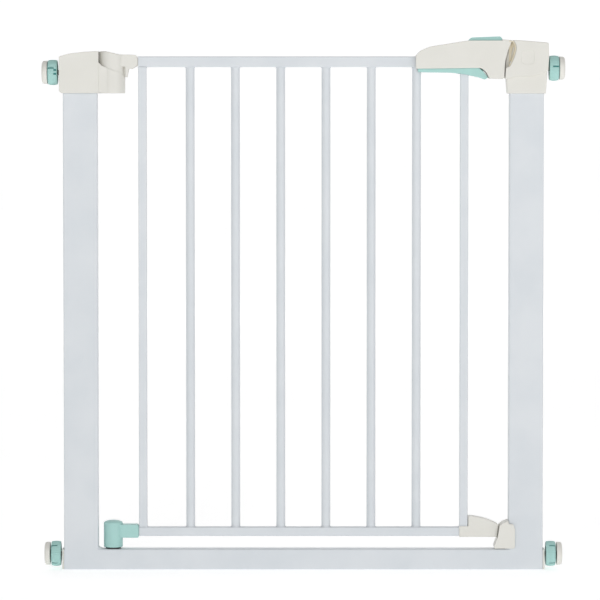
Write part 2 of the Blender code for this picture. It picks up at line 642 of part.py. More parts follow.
def build_latch_nose():
    """The nose on the door's lower corner, which drops behind the catch as the door closes."""
    low = BOTTOM_RAIL_Z - 1.3
    sleeve_left = DOOR_RIGHT - 12.5
    sleeve_top = BOTTOM_RAIL_TOP + 1.7
    wall_x = DOOR_RIGHT + 0.8
    outline = ((sleeve_left, low), (sleeve_left, sleeve_top), (wall_x, sleeve_top),
               (wall_x, low + 30.9), (wall_x + 3.7, low + 30.9), (LATCH_X - 33.7, low + 27.4),
               (LATCH_X - 16.0, low + 19.5), (LATCH_X - 14.5, low + 17.0), (LATCH_X - 16.8, low))
    half = HALF_RAIL + 1.8
    nose = plate("lower_latch_nose", outline, (-half, half))
    seat = HALF_RAIL + GAP
    sleeve = box("nose_sleeve", (sleeve_left - 5.0, DOOR_RIGHT + GAP), (-seat, seat),
                 (BOTTOM_RAIL_Z - GAP, sleeve_top + 5.0))
    cut(nose, sleeve)
    return finish(nose, "cream_plastic")


# ---- The handle and its latch

def handle_outline():
    """The handle's side outline, clockwise from its lower left corner."""
    rail_top = TOP_RAIL_TOP - TOP
    rail_low = TOP_RAIL_Z - TOP
    return near_latch((
        (-136.5, rail_low - 2.5), (-136.5, rail_top + 1.3), (-134.0, rail_top + 3.9),
        (-129.0, rail_top + 8.3), (-118.4, rail_top + 13.2), (-91.7, 25.5), (-59.6, 30.8),
        (-11.0, 32.0), (5.0 - LATCH_GAP, 31.0), (-1.4 - LATCH_GAP, 15.3),
        (-5.6 - LATCH_GAP, -1.0), (-6.6 - LATCH_GAP, -25.0), (-29.0, -24.5), (-30.5, -22.8),
        (-34.6, -15.1), (-41.4, rail_low - 1.5)))


def build_handle_shell(name, side):
    """One half of the handle's shell, with its screw bosses and its half of the spring seat."""
    outline = handle_outline()
    wall = HALF_HANDLE - SHELL_WALL
    seam = GAP / 2
    shell = plate(name, outline, sorted((side * seam, side * HALF_HANDLE)))
    room = plate(name + "_room", inset(outline, SHELL_WALL), sorted((-side * 5.0, side * wall)))
    cut(shell, room)
    for index, (x, z) in enumerate(HANDLE_SCREWS):
        start = (x, seam if side > 0 else -wall - 1.0, z)
        boss = rod("%s_boss_%d" % (name, index), start, "Y", wall + 1.0 - seam, BOSS_RADIUS, 20)
        join(shell, boss)
    seat_x = (DOOR_RIGHT + RUNNING, DOOR_RIGHT + RUNNING + SPRING_SEAT)
    seat = box(name + "_seat", seat_x, sorted((side * seam, side * (wall + 1.0))),
               (BOLT_Z + 2.0, BOLT_TOP))
    join(shell, seat)
    for index, (x, z) in enumerate(HANDLE_SCREWS):
        hole = screw_hole("%s_screw_hole_%d" % (name, index), x, z, HALF_HANDLE,
                          -wall + 5.0)
        cut(shell, hole)
    rail_room = HALF_RAIL + RUNNING
    slot = TRIGGER_OUTER + 0.5
    handle_left = outline[0][0]
    openings = (
        ("rail", (handle_left - 5.0, DOOR_RIGHT + GAP), (-rail_room, rail_room),
         (TOP_RAIL_Z - RUNNING, TOP_RAIL_TOP + RUNNING)),
        ("trigger", (handle_left - 5.0, LATCH_X - 28.0), (-slot, slot), (TOP - 30.0, TOP - 7.0)),
        ("bolt", (LATCH_X - 20.0, LATCH_X + 20.0),
         (-HALF_BOLT - RUNNING, HALF_BOLT + RUNNING), (BOLT_Z - RUNNING, BOLT_TOP + RUNNING)),
        ("slider", (SLIDER_LEFT - SLIDER_TRAVEL - 0.6, SLIDER_RIGHT + 0.6),
         (-SLIDER_HALF - 0.5, SLIDER_HALF + 0.5), (TOP + 22.0, TOP + 60.0)),
    )
    for label, x, y, z in openings:
        cut(shell, box("%s_%s_opening" % (name, label), x, y, z))
    return finish(shell, "cream_plastic")


def trigger_outline():
    """The trigger's side outline, clockwise from its lower left corner."""
    return near_latch((
        (-133.4, -16.2), (-133.4, -1.0), (-123.0, -1.0), (-119.0, -8.6), (-45.0, -8.6),
        (-37.2, -15.4),
        (-31.2, -23.4), (-35.5, -26.0), (-42.0, -23.4), (-62.0, -19.3), (-72.3, -17.5),
        (-85.0, -16.2)))


def build_trigger():
    """The squeeze trigger: a channel under the handle that straddles the rail and the upright."""
    outline = trigger_outline()
    trigger = plate("trigger", outline, (-TRIGGER_OUTER, TRIGGER_OUTER))
    floor = near_latch((
        (-140.0, 20.0), (-34.0, 20.0), (-34.0, -22.0), (-36.2, -23.4), (-42.0, -21.4),
        (-62.0, -17.3), (-72.3, -15.5), (-85.0, -14.2), (-140.0, -14.2)))
    room = plate("trigger_room", floor, (-TRIGGER_INNER, TRIGGER_INNER))
    window_depth = (-HALF_RAIL - 0.8, HALF_RAIL + 0.8)
    window_height = (TOP - 40.0, TOP + 20.0)
    window = box("trigger_window", (DOOR_RIGHT - UPRIGHT_WIDTH - 3.0, DOOR_RIGHT + 1.5),
                 window_depth, window_height)
    bar_room = box("trigger_bar_room", (outline[0][0] - 5.0, LAST_BAR_X + BAR_RADIUS + 1.5),
                   window_depth, window_height)
    pivot = rod("trigger_bore", (TRIGGER_PIVOT_X, -30.0, TRIGGER_PIVOT_Z), "Y", 60.0,
                SCREW_RADIUS + GAP, 16)
    cut(trigger, room, window, bar_room, pivot)
    finger = box("trigger_finger", (FINGER_X, FINGER_X + 4.0), (-4.0, 4.0),
                 (TOP - 23.0, LUG_BOTTOM))
    join(trigger, finger)
    return finish(trigger, "mint_plastic")


def build_latch_bolt():
    """The sprung bolt, with the sloped lug that the trigger's finger pushes back."""
    slant = 6.0
    outline = ((BOLT_LEFT, -HALF_BOLT), (BOLT_TIP, -HALF_BOLT), (BOLT_TIP, HALF_BOLT - slant),
               (BOLT_TIP - slant, HALF_BOLT), (BOLT_LEFT, HALF_BOLT))
    bolt = plate("latch_bolt", outline, (BOLT_Z, BOLT_TOP), "XY")
    side = ((BOLT_LEFT, LUG_BOTTOM), (BOLT_LEFT, BOLT_Z + 3.0),
            (LUG_SLOPE_X + LUG_SLOPE, BOLT_Z + 3.0), (LUG_SLOPE_X + LUG_SLOPE, LUG_BOTTOM + LUG_SLOPE),
            (LUG_SLOPE_X, LUG_BOTTOM))
    lug = plate("bolt_lug", side, (-HALF_BOLT + 1.0, HALF_BOLT - 1.0))
    join(bolt, lug)
    bore = rod("bolt_bore", (BOLT_LEFT - 5.0, 0.0, BOLT_AXIS_Z), "X", 25.0, 3.4, 16)
    cut(bolt, bore)
    return finish(bolt, "zinc_steel")


def build_slider():
    """The lock slider on top of the handle."""
    foot = BOLT_TOP + 0.6
    outline = ((SLIDER_LEFT, foot), (SLIDER_LEFT, TOP + 31.8), (SLIDER_LEFT + 3.0, TOP + 34.6),
               (SLIDER_RIGHT - 3.0, TOP + 36.5), (SLIDER_RIGHT, TOP + 33.6), (SLIDER_RIGHT, foot))
    slider = plate("lock_slider", outline, (-SLIDER_HALF, SLIDER_HALF))
    return finish(slider, "mint_plastic")


def build_handle():
    """Every piece of the handle and latch that rides on the door or moves in it."""
    shells = [build_handle_shell("handle_front_shell", -1),
              build_handle_shell("handle_rear_shell", 1)]
    wall = HALF_HANDLE - SHELL_WALL
    screws = [screw("handle_screw_%d" % (index + 1), x, z, HALF_HANDLE - 0.2, -wall + 6.0)
              for index, (x, z) in enumerate(HANDLE_SCREWS)]
    reach = wall - GAP
    pin = rod("trigger_pin", (TRIGGER_PIVOT_X, -reach, TRIGGER_PIVOT_Z), "Y", 2 * reach,
              SCREW_RADIUS, 16)
    finish(pin, "zinc_steel")
    bolt_spring = coil("bolt_spring", (DOOR_RIGHT + RUNNING + SPRING_SEAT + 0.2, 0.0, BOLT_AXIS_Z),
                       27.6, 2.4, 0.45, 7)
    lock_start = HANDLE_SCREWS[0][0] + BOSS_RADIUS + 0.4
    lock_spring = coil("lock_spring", (lock_start, 0.0, BOLT_TOP + 3.8),
                       SLIDER_LEFT - 0.3 - lock_start, 2.0, 0.45, 6)
    finish(bolt_spring, "zinc_steel")
    finish(lock_spring, "zinc_steel")
    return shells + screws + [pin], bolt_spring, lock_spring


def build_door():
    """The door with everything that swings on it, hung on an empty on the hinge's axis."""
    hinge = joint_axis("door_hinge_axis", HINGE_X, 0.0, SILL_HEIGHT)
    ride(hinge, build_hinge_pin(), build_upper_hinge_arm(), build_hinge_foot(),
         build_latch_nose(), *build_door_frame())
    fixed, bolt_spring, lock_spring = build_handle()
    ride(hinge, *fixed, bolt_spring, lock_spring)
    pivot = joint_axis("trigger_axis", TRIGGER_PIVOT_X, 0.0, TRIGGER_PIVOT_Z)
    ride(pivot, build_trigger())
    slide = joint_axis("bolt_axis", BOLT_LEFT, 0.0, BOLT_AXIS_Z)
    ride(slide, build_latch_bolt())
    lock = joint_axis("slider_axis", SLIDER_LEFT, 0.0, BOLT_TOP)
    ride(lock, build_slider())


# ---- The wall bolts

def build_wheel(name, side, seat, height):
    """A hand wheel: a thick disc with a hub bore and grooves round its rim."""
    bore = SPINDLE_RADIUS + RUNNING
    edge = 1.2
    profile = ((bore, 0.0), (WHEEL_RADIUS - edge, 0.0), (WHEEL_RADIUS, edge),
               (WHEEL_RADIUS, WHEEL_WIDTH - edge), (WHEEL_RADIUS - edge, WHEEL_WIDTH),
               (bore, WHEEL_WIDTH))
    start = seat if side > 0 else -seat - WHEEL_WIDTH
    wheel = turned(name, profile, (start, 0.0, height), "X", WHEEL_SIDES)
    return finish(wheel, "mint_plastic")


def build_wall_bolt(name, side, overhang, reach, height):
    """A hand wheel on its spindle, with the cup that presses on the wall and its rubber pad."""
    seat = RIGHT + overhang
    wheel = build_wheel(name + "_wheel", side, seat, height)
    pad_end = RIGHT + reach
    cup_end = pad_end - PAD_THICKNESS - GAP
    cup_start = cup_end - CUP_WIDTH
    spindle_end = cup_start + 2.5
    start = min(side * spindle_end, side * (spindle_end - SPINDLE_LENGTH))
    spindle = rod(name + "_spindle", (start, 0.0, height), "X", SPINDLE_LENGTH, SPINDLE_RADIUS)
    finish(spindle, "zinc_steel")
    socket = SPINDLE_RADIUS + GAP
    depth = 2.5 + GAP
    profile = [(0.0, depth), (socket, depth), (socket, 0.0), (CUP_RADIUS - 5.0, 0.0),
               (CUP_RADIUS, 4.0), (CUP_RADIUS, CUP_WIDTH), (0.0, CUP_WIDTH)]
    pad_profile = [(0.0, 0.0), (CUP_RADIUS - 1.0, 0.0), (CUP_RADIUS - 1.0, PAD_THICKNESS),
                   (0.0, PAD_THICKNESS)]
    if side < 0:
        profile = [(radius, -along) for radius, along in profile]
        pad_profile = [(radius, -along) for radius, along in pad_profile]
    cup = turned(name + "_cup", profile, (side * cup_start, 0.0, height), "X")
    pad = turned(name + "_pad", pad_profile, (side * (cup_end + GAP), 0.0, height), "X")
    finish(cup, "cream_plastic")
    finish(pad, "grey_rubber")
    turn = joint_axis(name + "_turn_axis", side * seat, 0.0, height)
    ride(turn, wheel)
    slide = joint_axis(name + "_slide_axis", side * RIGHT, 0.0, height)
    ride(slide, spindle, cup, pad)


def build_frame():
    """The welded U of sill and posts, with the fittings that stay on it."""
    build_sill()
    build_post("left_post", -1, UPPER_LEFT_BOLT_Z, TOP - 32.0)
    build_post("right_post", 1, UPPER_RIGHT_BOLT_Z, TOP - 32.0)
    build_post_bush("post_bush_left", -1, UPPER_LEFT_BOLT_Z)
    build_post_bush("post_bush_right", 1, UPPER_RIGHT_BOLT_Z)
    build_lower_pivot()
    build_catch()
    build_hinge_cap()
    build_receiver()


for old in list(bpy.data.objects):
    bpy.data.objects.remove(old)
GATE = new_collection("safety_gate")
CUTTERS = new_collection("cutters")
build_frame()
build_door()
build_wall_bolt("upper_left", -1, UPPER_SEAT, UPPER_REACH, UPPER_LEFT_BOLT_Z)
build_wall_bolt("upper_right", 1, UPPER_SEAT, UPPER_REACH, UPPER_RIGHT_BOLT_Z)
build_wall_bolt("lower_left", -1, LOWER_SEAT, LOWER_REACH, LOWER_BOLT_Z)
build_wall_bolt("lower_right", 1, LOWER_SEAT, LOWER_REACH, LOWER_BOLT_Z)
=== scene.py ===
# %% [markdown]
# # A safety gate, piece by piece
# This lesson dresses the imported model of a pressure-mounted safety gate.

# %% Load the frame
import json
from math import atan2, cos, pi, radians, sin, tan, tau

import bmesh
import bpy
from mathutils import Matrix, Vector


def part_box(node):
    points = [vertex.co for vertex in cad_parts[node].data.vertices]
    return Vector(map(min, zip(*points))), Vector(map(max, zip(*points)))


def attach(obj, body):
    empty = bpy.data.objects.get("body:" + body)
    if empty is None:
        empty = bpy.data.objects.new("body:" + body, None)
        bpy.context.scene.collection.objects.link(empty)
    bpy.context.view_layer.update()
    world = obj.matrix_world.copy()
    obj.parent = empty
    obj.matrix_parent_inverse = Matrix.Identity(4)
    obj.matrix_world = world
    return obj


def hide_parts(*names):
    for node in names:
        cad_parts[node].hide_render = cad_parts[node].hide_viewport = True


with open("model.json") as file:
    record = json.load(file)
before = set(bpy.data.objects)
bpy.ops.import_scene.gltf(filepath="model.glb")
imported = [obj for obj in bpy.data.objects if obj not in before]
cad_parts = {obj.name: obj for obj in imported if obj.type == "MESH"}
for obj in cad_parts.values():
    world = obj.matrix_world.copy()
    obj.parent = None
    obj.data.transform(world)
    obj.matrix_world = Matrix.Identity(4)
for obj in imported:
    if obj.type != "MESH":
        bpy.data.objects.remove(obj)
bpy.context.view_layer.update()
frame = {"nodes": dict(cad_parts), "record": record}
MM = 0.001

# %% [markdown]
# ## Where things are
# Every size comes from the engineering model. A node's box gives its two far corners, and a
# joint's place gives an axis. The latch side and the hinge side each get one anchor point at the
# top inner corner of their post, so an outline can be written in plain millimetres from there.

# %% Anchors


def corners_of(node):
    """The lowest and highest corner of a node, as vectors."""
    low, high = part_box(node)
    return Vector(low), Vector(high)


POST_LOW, POST_HIGH = corners_of("right_post")
LEFT_LOW, LEFT_HIGH = corners_of("left_post")
SILL_LOW, SILL_HIGH = corners_of("sill")
RAIL_LOW, RAIL_HIGH = corners_of("door_top_rail")
FOOT_RAIL_LOW, FOOT_RAIL_HIGH = corners_of("door_bottom_rail")
JOINTS = {joint["name"]: joint for joint in frame["record"]["behaviour"]["joints"]}
HINGE_X = JOINTS["door_swing"]["pos_m"][0]
TOP = POST_HIGH.z
LATCH_X = POST_LOW.x
HINGE_FACE_X = LEFT_HIGH.x
HOUSING = corners_of("latch_receiver")[1].y
HANDLE_FACE = corners_of("handle_rear_shell")[1].y
print("post top %.0f mm, latch face %.0f mm, hinge axis %.1f mm"
      % (TOP / MM, LATCH_X / MM, HINGE_X / MM))

# %% [markdown]
# ## Tools for the bench
# A hand modeller selects, extrudes, bevels and cuts. These short helpers do the same with
# Blender's own operators. Everything is deselected before each step, because an operator works on
# all that is selected.

# %% Selecting


def deselect():
    """Leaves edit mode and selects nothing."""
    if bpy.context.object and bpy.context.object.mode != "OBJECT":
        bpy.ops.object.mode_set(mode="OBJECT")
    bpy.ops.object.select_all(action="DESELECT")


def pick(piece):
    """Selects one piece and makes it the active one."""
    deselect()
    piece.select_set(True)
    bpy.context.view_layer.objects.active = piece


def edit_parts(piece, kind, test):
    """Enters edit mode with only those faces or edges selected that pass the test."""
    pick(piece)
    bpy.ops.object.mode_set(mode="EDIT")
    bpy.ops.mesh.select_mode(type=kind)
    bpy.ops.mesh.select_all(action="DESELECT")
    shape = bmesh.from_edit_mesh(piece.data)
    for part in shape.faces if kind == "FACE" else shape.edges:
        part.select_set(test(part))
    bmesh.update_edit_mesh(piece.data)


def edit_all(piece):
    """Enters edit mode with the whole mesh selected."""
    pick(piece)
    bpy.ops.object.mode_set(mode="EDIT")
    bpy.ops.mesh.select_all(action="SELECT")


def leave_edit():
    """Goes back to object mode."""
    bpy.ops.object.mode_set(mode="OBJECT")


def point_out(piece):
    """Turns the faces of a closed mesh so that they all point outwards."""
    edit_all(piece)
    bpy.ops.mesh.normals_make_consistent(inside=False)
    leave_edit()
    return piece


# %% Starting shapes


def block(name, low, high):
    """A primitive cube stretched between two corners."""
    deselect()
    low, high = Vector(low), Vector(high)
    bpy.ops.mesh.primitive_cube_add(size=1.0, location=(low + high) / 2, scale=high - low)
    piece = bpy.context.object
    piece.name = name
    bpy.ops.object.transform_apply(location=True, rotation=True, scale=True)
    return piece


AXIS_TURN = {"X": (0.0, pi / 2, 0.0), "Y": (-pi / 2, 0.0, 0.0), "Z": (0.0, 0.0, 0.0)}


def drum(name, centre, axis, length, radius, sides=64):
    """A primitive cylinder about a centre, along the named axis."""
    deselect()
    bpy.ops.mesh.primitive_cylinder_add(
        vertices=sides, radius=radius, depth=length, location=centre, rotation=AXIS_TURN[axis])
    piece = bpy.context.object
    piece.name = name
    bpy.ops.object.transform_apply(location=True, rotation=True, scale=True)
    return piece


def prism(name, outline, front, back):
    """A filled circle whose corners are moved onto an outline, then extruded from front to back."""
    deselect()
    bpy.ops.mesh.primitive_circle_add(vertices=len(outline), fill_type="NGON")
    piece = bpy.context.object
    piece.name = name
    for vert, (x, z) in zip(piece.data.vertices, outline):
        vert.co = (x, front, z)
    edit_all(piece)
    bpy.ops.mesh.extrude_region_move(TRANSFORM_OT_translate={"value": (0.0, back - front, 0.0)})
    leave_edit()
    return point_out(piece)


def lathe(name, profile, steps=64):
    """Spins (radius, height) corners about Z; a profile that starts off the axis makes a ring."""
    deselect()
    bpy.ops.mesh.primitive_circle_add(vertices=len(profile))
    piece = bpy.context.object
    piece.name = name
    for vert, (radius, height) in zip(piece.data.vertices, profile):
        vert.co = (radius, 0.0, height)
    if profile[0][0] == 0.0:
        edit_parts(piece, "EDGE", lambda edge: all(abs(v.co.x) < 1e-7 for v in edge.verts))
        bpy.ops.mesh.delete(type="EDGE")
        leave_edit()
    edit_all(piece)
    bpy.ops.mesh.spin(steps=steps, angle=tau, center=(0.0, 0.0, 0.0), axis=(0.0, 0.0, 1.0))
    bpy.ops.mesh.select_all(action="SELECT")
    bpy.ops.mesh.remove_doubles(threshold=0.001 * MM)
    leave_edit()
    return point_out(piece)


# %% Shaping and finishing


def apply_modifiers(piece):
    """Applies every modifier in order."""
    pick(piece)
    for modifier in list(piece.modifiers):
        bpy.ops.object.modifier_apply(modifier=modifier.name)


def soften(piece, radius, segments=3, angle=40):
    """Rounds every edge that is sharper than the angle."""
    bevel = piece.modifiers.new("Soften", "BEVEL")
    bevel.width = radius
    bevel.segments = segments
    bevel.limit_method = "ANGLE"
    bevel.angle_limit = radians(angle)
    apply_modifiers(piece)


def round_uprights(piece, radius, segments):
    """Rounds the upright edges of a block."""
    edit_parts(piece, "EDGE", lambda edge: abs(edge.verts[0].co.z - edge.verts[1].co.z) > MM)
    bpy.ops.mesh.bevel(offset=radius, segments=segments, affect="EDGES")
    leave_edit()


def combine(piece, tool, operation):
    """Cuts, joins or intersects a piece with a tool, and removes the tool."""
    boolean = piece.modifiers.new("Combine", "BOOLEAN")
    boolean.object = tool
    boolean.operation = operation
    boolean.solver = "EXACT"
    apply_modifiers(piece)
    bpy.data.objects.remove(tool)


def cut(piece, *tools):
    """Takes tools away from a piece."""
    for tool in tools:
        combine(piece, tool, "DIFFERENCE")


def join(piece, *tools):
    """Melts tools into a piece."""
    for tool in tools:
        combine(piece, tool, "UNION")


def moved(piece, matrix):
    """Moves a mesh by a matrix, with its object left at the origin."""
    piece.data.transform(matrix)
    piece.data.update()
    return piece


def copy_of(piece, name, matrix=None):
    """A copy with a mesh of its own."""
    twin = bpy.data.objects.new(name, piece.data.copy())
    bpy.context.scene.collection.objects.link(twin)
    return moved(twin, matrix) if matrix else twin


def dress(piece, body, material, *nodes, smooth=35):
    """Smooths a finished piece, paints it, ties it to its body and hides the nodes it replaces."""
    pick(piece)
    bpy.ops.object.shade_smooth_by_angle(angle=radians(smooth))
    weighted = piece.modifiers.new("Weighted", "WEIGHTED_NORMAL")
    weighted.keep_sharp = True
    apply_modifiers(piece)
    if not piece.data.materials:
        piece.data.materials.append(material)
    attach(piece, body)
    if nodes:
        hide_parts(*nodes)
    print("%-24s %6d faces on %s" % (piece.name, len(piece.data.polygons), body))
    return piece


# %% Outlines with round corners


def rounded(corners, steps=6):
    """Turns (across, up, radius) corners into an outline with an arc wherever a radius is given."""
    outline = []
    for index, (across, up, radius) in enumerate(corners):
        here = Vector((across, up))
        if radius == 0:
            outline.append(here)
            continue
        back = Vector(corners[index - 1][:2]) - here
        ahead = Vector(corners[(index + 1) % len(corners)][:2]) - here
        half = back.angle(ahead) / 2
        reach = min(radius / tan(half), 0.49 * back.length, 0.49 * ahead.length)
        radius = reach * tan(half)
        middle = here + (back.normalized() + ahead.normalized()).normalized() * radius / sin(half)
        start = here + back.normalized() * reach - middle
        end = here + ahead.normalized() * reach - middle
        first = atan2(start.y, start.x)
        turn = (atan2(end.y, end.x) - first + pi) % tau - pi
        for step in range(steps + 1):
            angle = first + turn * step / steps
            outline.append(middle + radius * Vector((cos(angle), sin(angle))))
    return outline


def at(x, z, outline):
    """Places an outline that was written in millimetres from an anchor."""
    return [(x + point[0] * MM, z + point[1] * MM) for point in outline]


def inset(outline, wall):
    """Moves every side of a clockwise outline inwards by the wall."""
    result = []
    for index, here in enumerate(outline):
        before = (Vector(here) - Vector(outline[index - 1])).normalized()
        after = (Vector(outline[(index + 1) % len(outline)]) - Vector(here)).normalized()
        normals = Vector((before.y, -before.x)), Vector((after.y, -after.x))
        shift = (normals[0] + normals[1]) * wall / (1.0 + normals[0].dot(normals[1]))
        result.append(tuple(Vector(here) + shift))
    return result


# %% [markdown]
# ## Finishes
# A finish is a small network of nodes that starts from Object coordinates, so its grain has a real
# size in millimetres and stays put when the gate moves. Each one has three things that a flat
# colour lacks: a slight drift of colour, a roughness that varies, and a grain that the light can
# catch. Constant numbers are set on the shader itself.

# %% Building blocks for finishes


def start_material(name, roughness, metallic=0.0):
    """A node material with its shader and its Object coordinates."""
    material = bpy.data.materials.new(name)
    material.use_nodes = True
    nodes = material.node_tree.nodes
    shader = nodes["Principled BSDF"]
    shader.inputs["Roughness"].default_value = roughness
    shader.inputs["Metallic"].default_value = metallic
    place = nodes.new("ShaderNodeTexCoord")
    return material, shader, place.outputs["Object"]


def speckle(material, place, grain_mm, detail=2.0, stretch=None):
    """Noise whose grain has a size in millimetres; stretch squeezes it along chosen axes."""
    tree = material.node_tree
    noise = tree.nodes.new("ShaderNodeTexNoise")
    noise.inputs["Scale"].default_value = 1.0 / (grain_mm * MM)
    noise.inputs["Detail"].default_value = detail
    if stretch:
        mapping = tree.nodes.new("ShaderNodeMapping")
        mapping.inputs["Scale"].default_value = stretch
        tree.links.new(place, mapping.inputs["Vector"])
        place = mapping.outputs["Vector"]
    tree.links.new(place, noise.inputs["Vector"])
    return noise.outputs["Fac"]


def tint(material, shader, factor, first, second, low=0.35, high=0.65):
    """Blends the base colour between two tones."""
    tree = material.node_tree
    ramp = tree.nodes.new("ShaderNodeValToRGB")
    ramp.color_ramp.elements[0].position = low
    ramp.color_ramp.elements[1].position = high
    ramp.color_ramp.elements[0].color = (*first, 1.0)
    ramp.color_ramp.elements[1].color = (*second, 1.0)
    tree.links.new(factor, ramp.inputs["Fac"])
    tree.links.new(ramp.outputs["Color"], shader.inputs["Base Color"])


def gloss(material, shader, factor, low, high):
    """Lets the roughness drift between two values."""
    tree = material.node_tree
    spread = tree.nodes.new("ShaderNodeMapRange")
    spread.inputs["From Min"].default_value = 0.3
    spread.inputs["From Max"].default_value = 0.7
    spread.inputs["To Min"].default_value = low
    spread.inputs["To Max"].default_value = high
    tree.links.new(factor, spread.inputs["Value"])
    tree.links.new(spread.outputs["Result"], shader.inputs["Roughness"])


def relief(material, shader, factors, depth_mm, strength):
    """Stacks one bump for each height map, so that coarse and fine grain add up."""
    tree = material.node_tree
    normal = None
    for factor, depth in zip(factors, depth_mm):
        bump = tree.nodes.new("ShaderNodeBump")
        bump.inputs["Strength"].default_value = strength
        bump.inputs["Distance"].default_value = depth * MM
        tree.links.new(factor, bump.inputs["Height"])
        if normal:
            tree.links.new(normal, bump.inputs["Normal"])
        normal = bump.outputs["Normal"]
    tree.links.new(normal, shader.inputs["Normal"])


# %% [markdown]
# ### Powder coat
# The steel is sprayed with dry powder and baked. It flows out into a skin with a faint orange
# peel of about two millimetres, and over it lies a much finer grain.

# %% Powder coat


def make_powder_coat():
    """Pale grey powder coat with orange peel."""
    material, shader, place = start_material("powder_coat_finish", 0.42)
    drift = speckle(material, place, 60.0, 3.0)
    peel = speckle(material, place, 2.2, 1.0)
    grain = speckle(material, place, 0.45, 2.0)
    tint(material, shader, drift, (0.655, 0.690, 0.722), (0.690, 0.720, 0.748))
    gloss(material, shader, speckle(material, place, 14.0), 0.36, 0.50)
    relief(material, shader, (peel, grain), (0.06, 0.015), 0.35)
    return material


# %% [markdown]
# ### Moulded plastic
# The housings come from a mould whose steel was spark-eroded, which leaves a fine satin grain.
# One function makes the cream, the mint and the beige of the keeper, because on the real gate they
# differ only in pigment. It also makes a much darker mint: painted shade for the floors of the
# wheel slots.

# %% Moulded plastic


def make_plastic(name, colour, deep, grain_mm=0.5, roughness=(0.36, 0.48)):
    """Satin moulded plastic in one pigment."""
    material, shader, place = start_material(name, roughness[0])
    shader.inputs["Specular IOR Level"].default_value = 0.45
    drift = speckle(material, place, 45.0, 3.0)
    erosion = speckle(material, place, grain_mm, 3.0)
    flow = speckle(material, place, 9.0, 1.0, (1.0, 1.0, 0.35))
    tint(material, shader, drift, deep, colour)
    gloss(material, shader, erosion, *roughness)
    relief(material, shader, (flow, erosion), (0.05, 0.02), 0.3)
    return material


# %% [markdown]
# ### Zinc, nylon and rubber
# The bright fittings are zinc-plated: a thin metal skin with turning marks and a cloudy bloom. The
# washer is near-black nylon; its black also stands for the shade in the gap under the hinge foot,
# so it is partly painted shade. The wall pads are rubber with a dusty, slightly open surface.

# %% Metal, nylon and rubber


def make_zinc():
    """Zinc plate with fine turning marks and a cloudy bloom."""
    material, shader, place = start_material("zinc_finish", 0.32, 1.0)
    bloom = speckle(material, place, 7.0, 4.0)
    marks = speckle(material, place, 0.6, 2.0, (1.0, 0.12, 0.12))
    tint(material, shader, bloom, (0.50, 0.51, 0.50), (0.66, 0.66, 0.63))
    gloss(material, shader, marks, 0.24, 0.42)
    relief(material, shader, (marks,), (0.012,), 0.4)
    return material


def make_soft(name, colour, deep, roughness, grain_mm):
    """A dark nylon or rubber with an open grain."""
    material, shader, place = start_material(name, roughness)
    grain = speckle(material, place, grain_mm, 4.0)
    tint(material, shader, speckle(material, place, 6.0), deep, colour)
    gloss(material, shader, grain, roughness - 0.08, roughness + 0.08)
    relief(material, shader, (grain,), (0.05,), 0.5)
    return material


POWDER = make_powder_coat()
CREAM = make_plastic("cream_finish", (0.748, 0.738, 0.690), (0.726, 0.716, 0.666))
MINT = make_plastic("mint_finish", (0.392, 0.640, 0.605), (0.366, 0.606, 0.572))
# Painted shade: a much darker mint for the shaded floors of the wheel slots.
SLOT_SHADE_MINT = make_plastic("mint_slot_shade_finish", (0.040, 0.250, 0.240), (0.032, 0.215, 0.205))
BEIGE = make_plastic("keeper_finish", (0.740, 0.675, 0.530), (0.700, 0.635, 0.490))
ZINC = make_zinc()
# Near-black nylon for the pivot washer, partly painted shade of the gap under the hinge foot.
NYLON_AND_GAP_SHADE = make_soft("nylon_and_gap_shade_finish", (0.030, 0.030, 0.032), (0.018, 0.018, 0.020), 0.45, 0.4)
RUBBER = make_soft("rubber_finish", (0.115, 0.115, 0.120), (0.085, 0.085, 0.090), 0.78, 0.3)
print("made", len([m for m in bpy.data.materials if m.name.endswith("_finish")]), "finishes")

# %% [markdown]
# ## The steel tubes
# Posts, sill, rails and uprights are rolled rectangular tube, and rolled steel never has a knife
# edge. Each one starts as a cube over its node. The four long edges are bevelled to the bend
# radius, the two ends are opened, and Solidify gives the wall its thickness.

# %% Rectangular tubes
TUBE_WALL = 1.2 * MM
FIT = 0.3 * MM
AXES = {"X": Vector((1, 0, 0)), "Y": Vector((0, 1, 0)), "Z": Vector((0, 0, 1))}


def square_tube(node, body, axis, bend):
    """An open tube with rounded long edges, over a CAD node."""
    along = AXES[axis]
    tube = block("tube_" + node, *corners_of(node))
    edit_parts(tube, "EDGE", lambda edge: abs((edge.verts[1].co - edge.verts[0].co).normalized()
                                              .dot(along)) > 0.9)
    bpy.ops.mesh.bevel(offset=bend, segments=5, affect="EDGES")
    leave_edit()
    edit_parts(tube, "FACE", lambda face: abs(face.normal.dot(along)) > 0.9)
    bpy.ops.mesh.delete(type="ONLY_FACE")
    leave_edit()
    wall = tube.modifiers.new("Wall", "SOLIDIFY")
    wall.thickness = TUBE_WALL
    wall.offset = -1.0
    apply_modifiers(tube)
    return dress(tube, body, POWDER, node)


for node, body, axis, bend in (
        ("sill", "frame", "X", 2.0), ("left_post", "frame", "Z", 2.0),
        ("right_post", "frame", "Z", 2.0), ("door_top_rail", "door", "X", 1.6),
        ("door_bottom_rail", "door", "X", 1.6), ("door_hinge_upright", "door", "Z", 1.5),
        ("door_latch_upright", "door", "Z", 1.5)):
    square_tube(node, body, axis, bend * MM)

# %% [markdown]
# ## The round bars
# A round bar is the same everywhere, so one is modelled and the rest are copies with their own
# mesh. The ends of the master are inset, because the tube is open inside its weld.

# %% Round bars
BAR_NODES = sorted(node for node in frame["nodes"] if node.startswith("bar_"))


def bar_centre(node):
    """The middle of a bar."""
    low, high = corners_of(node)
    return (low + high) / 2


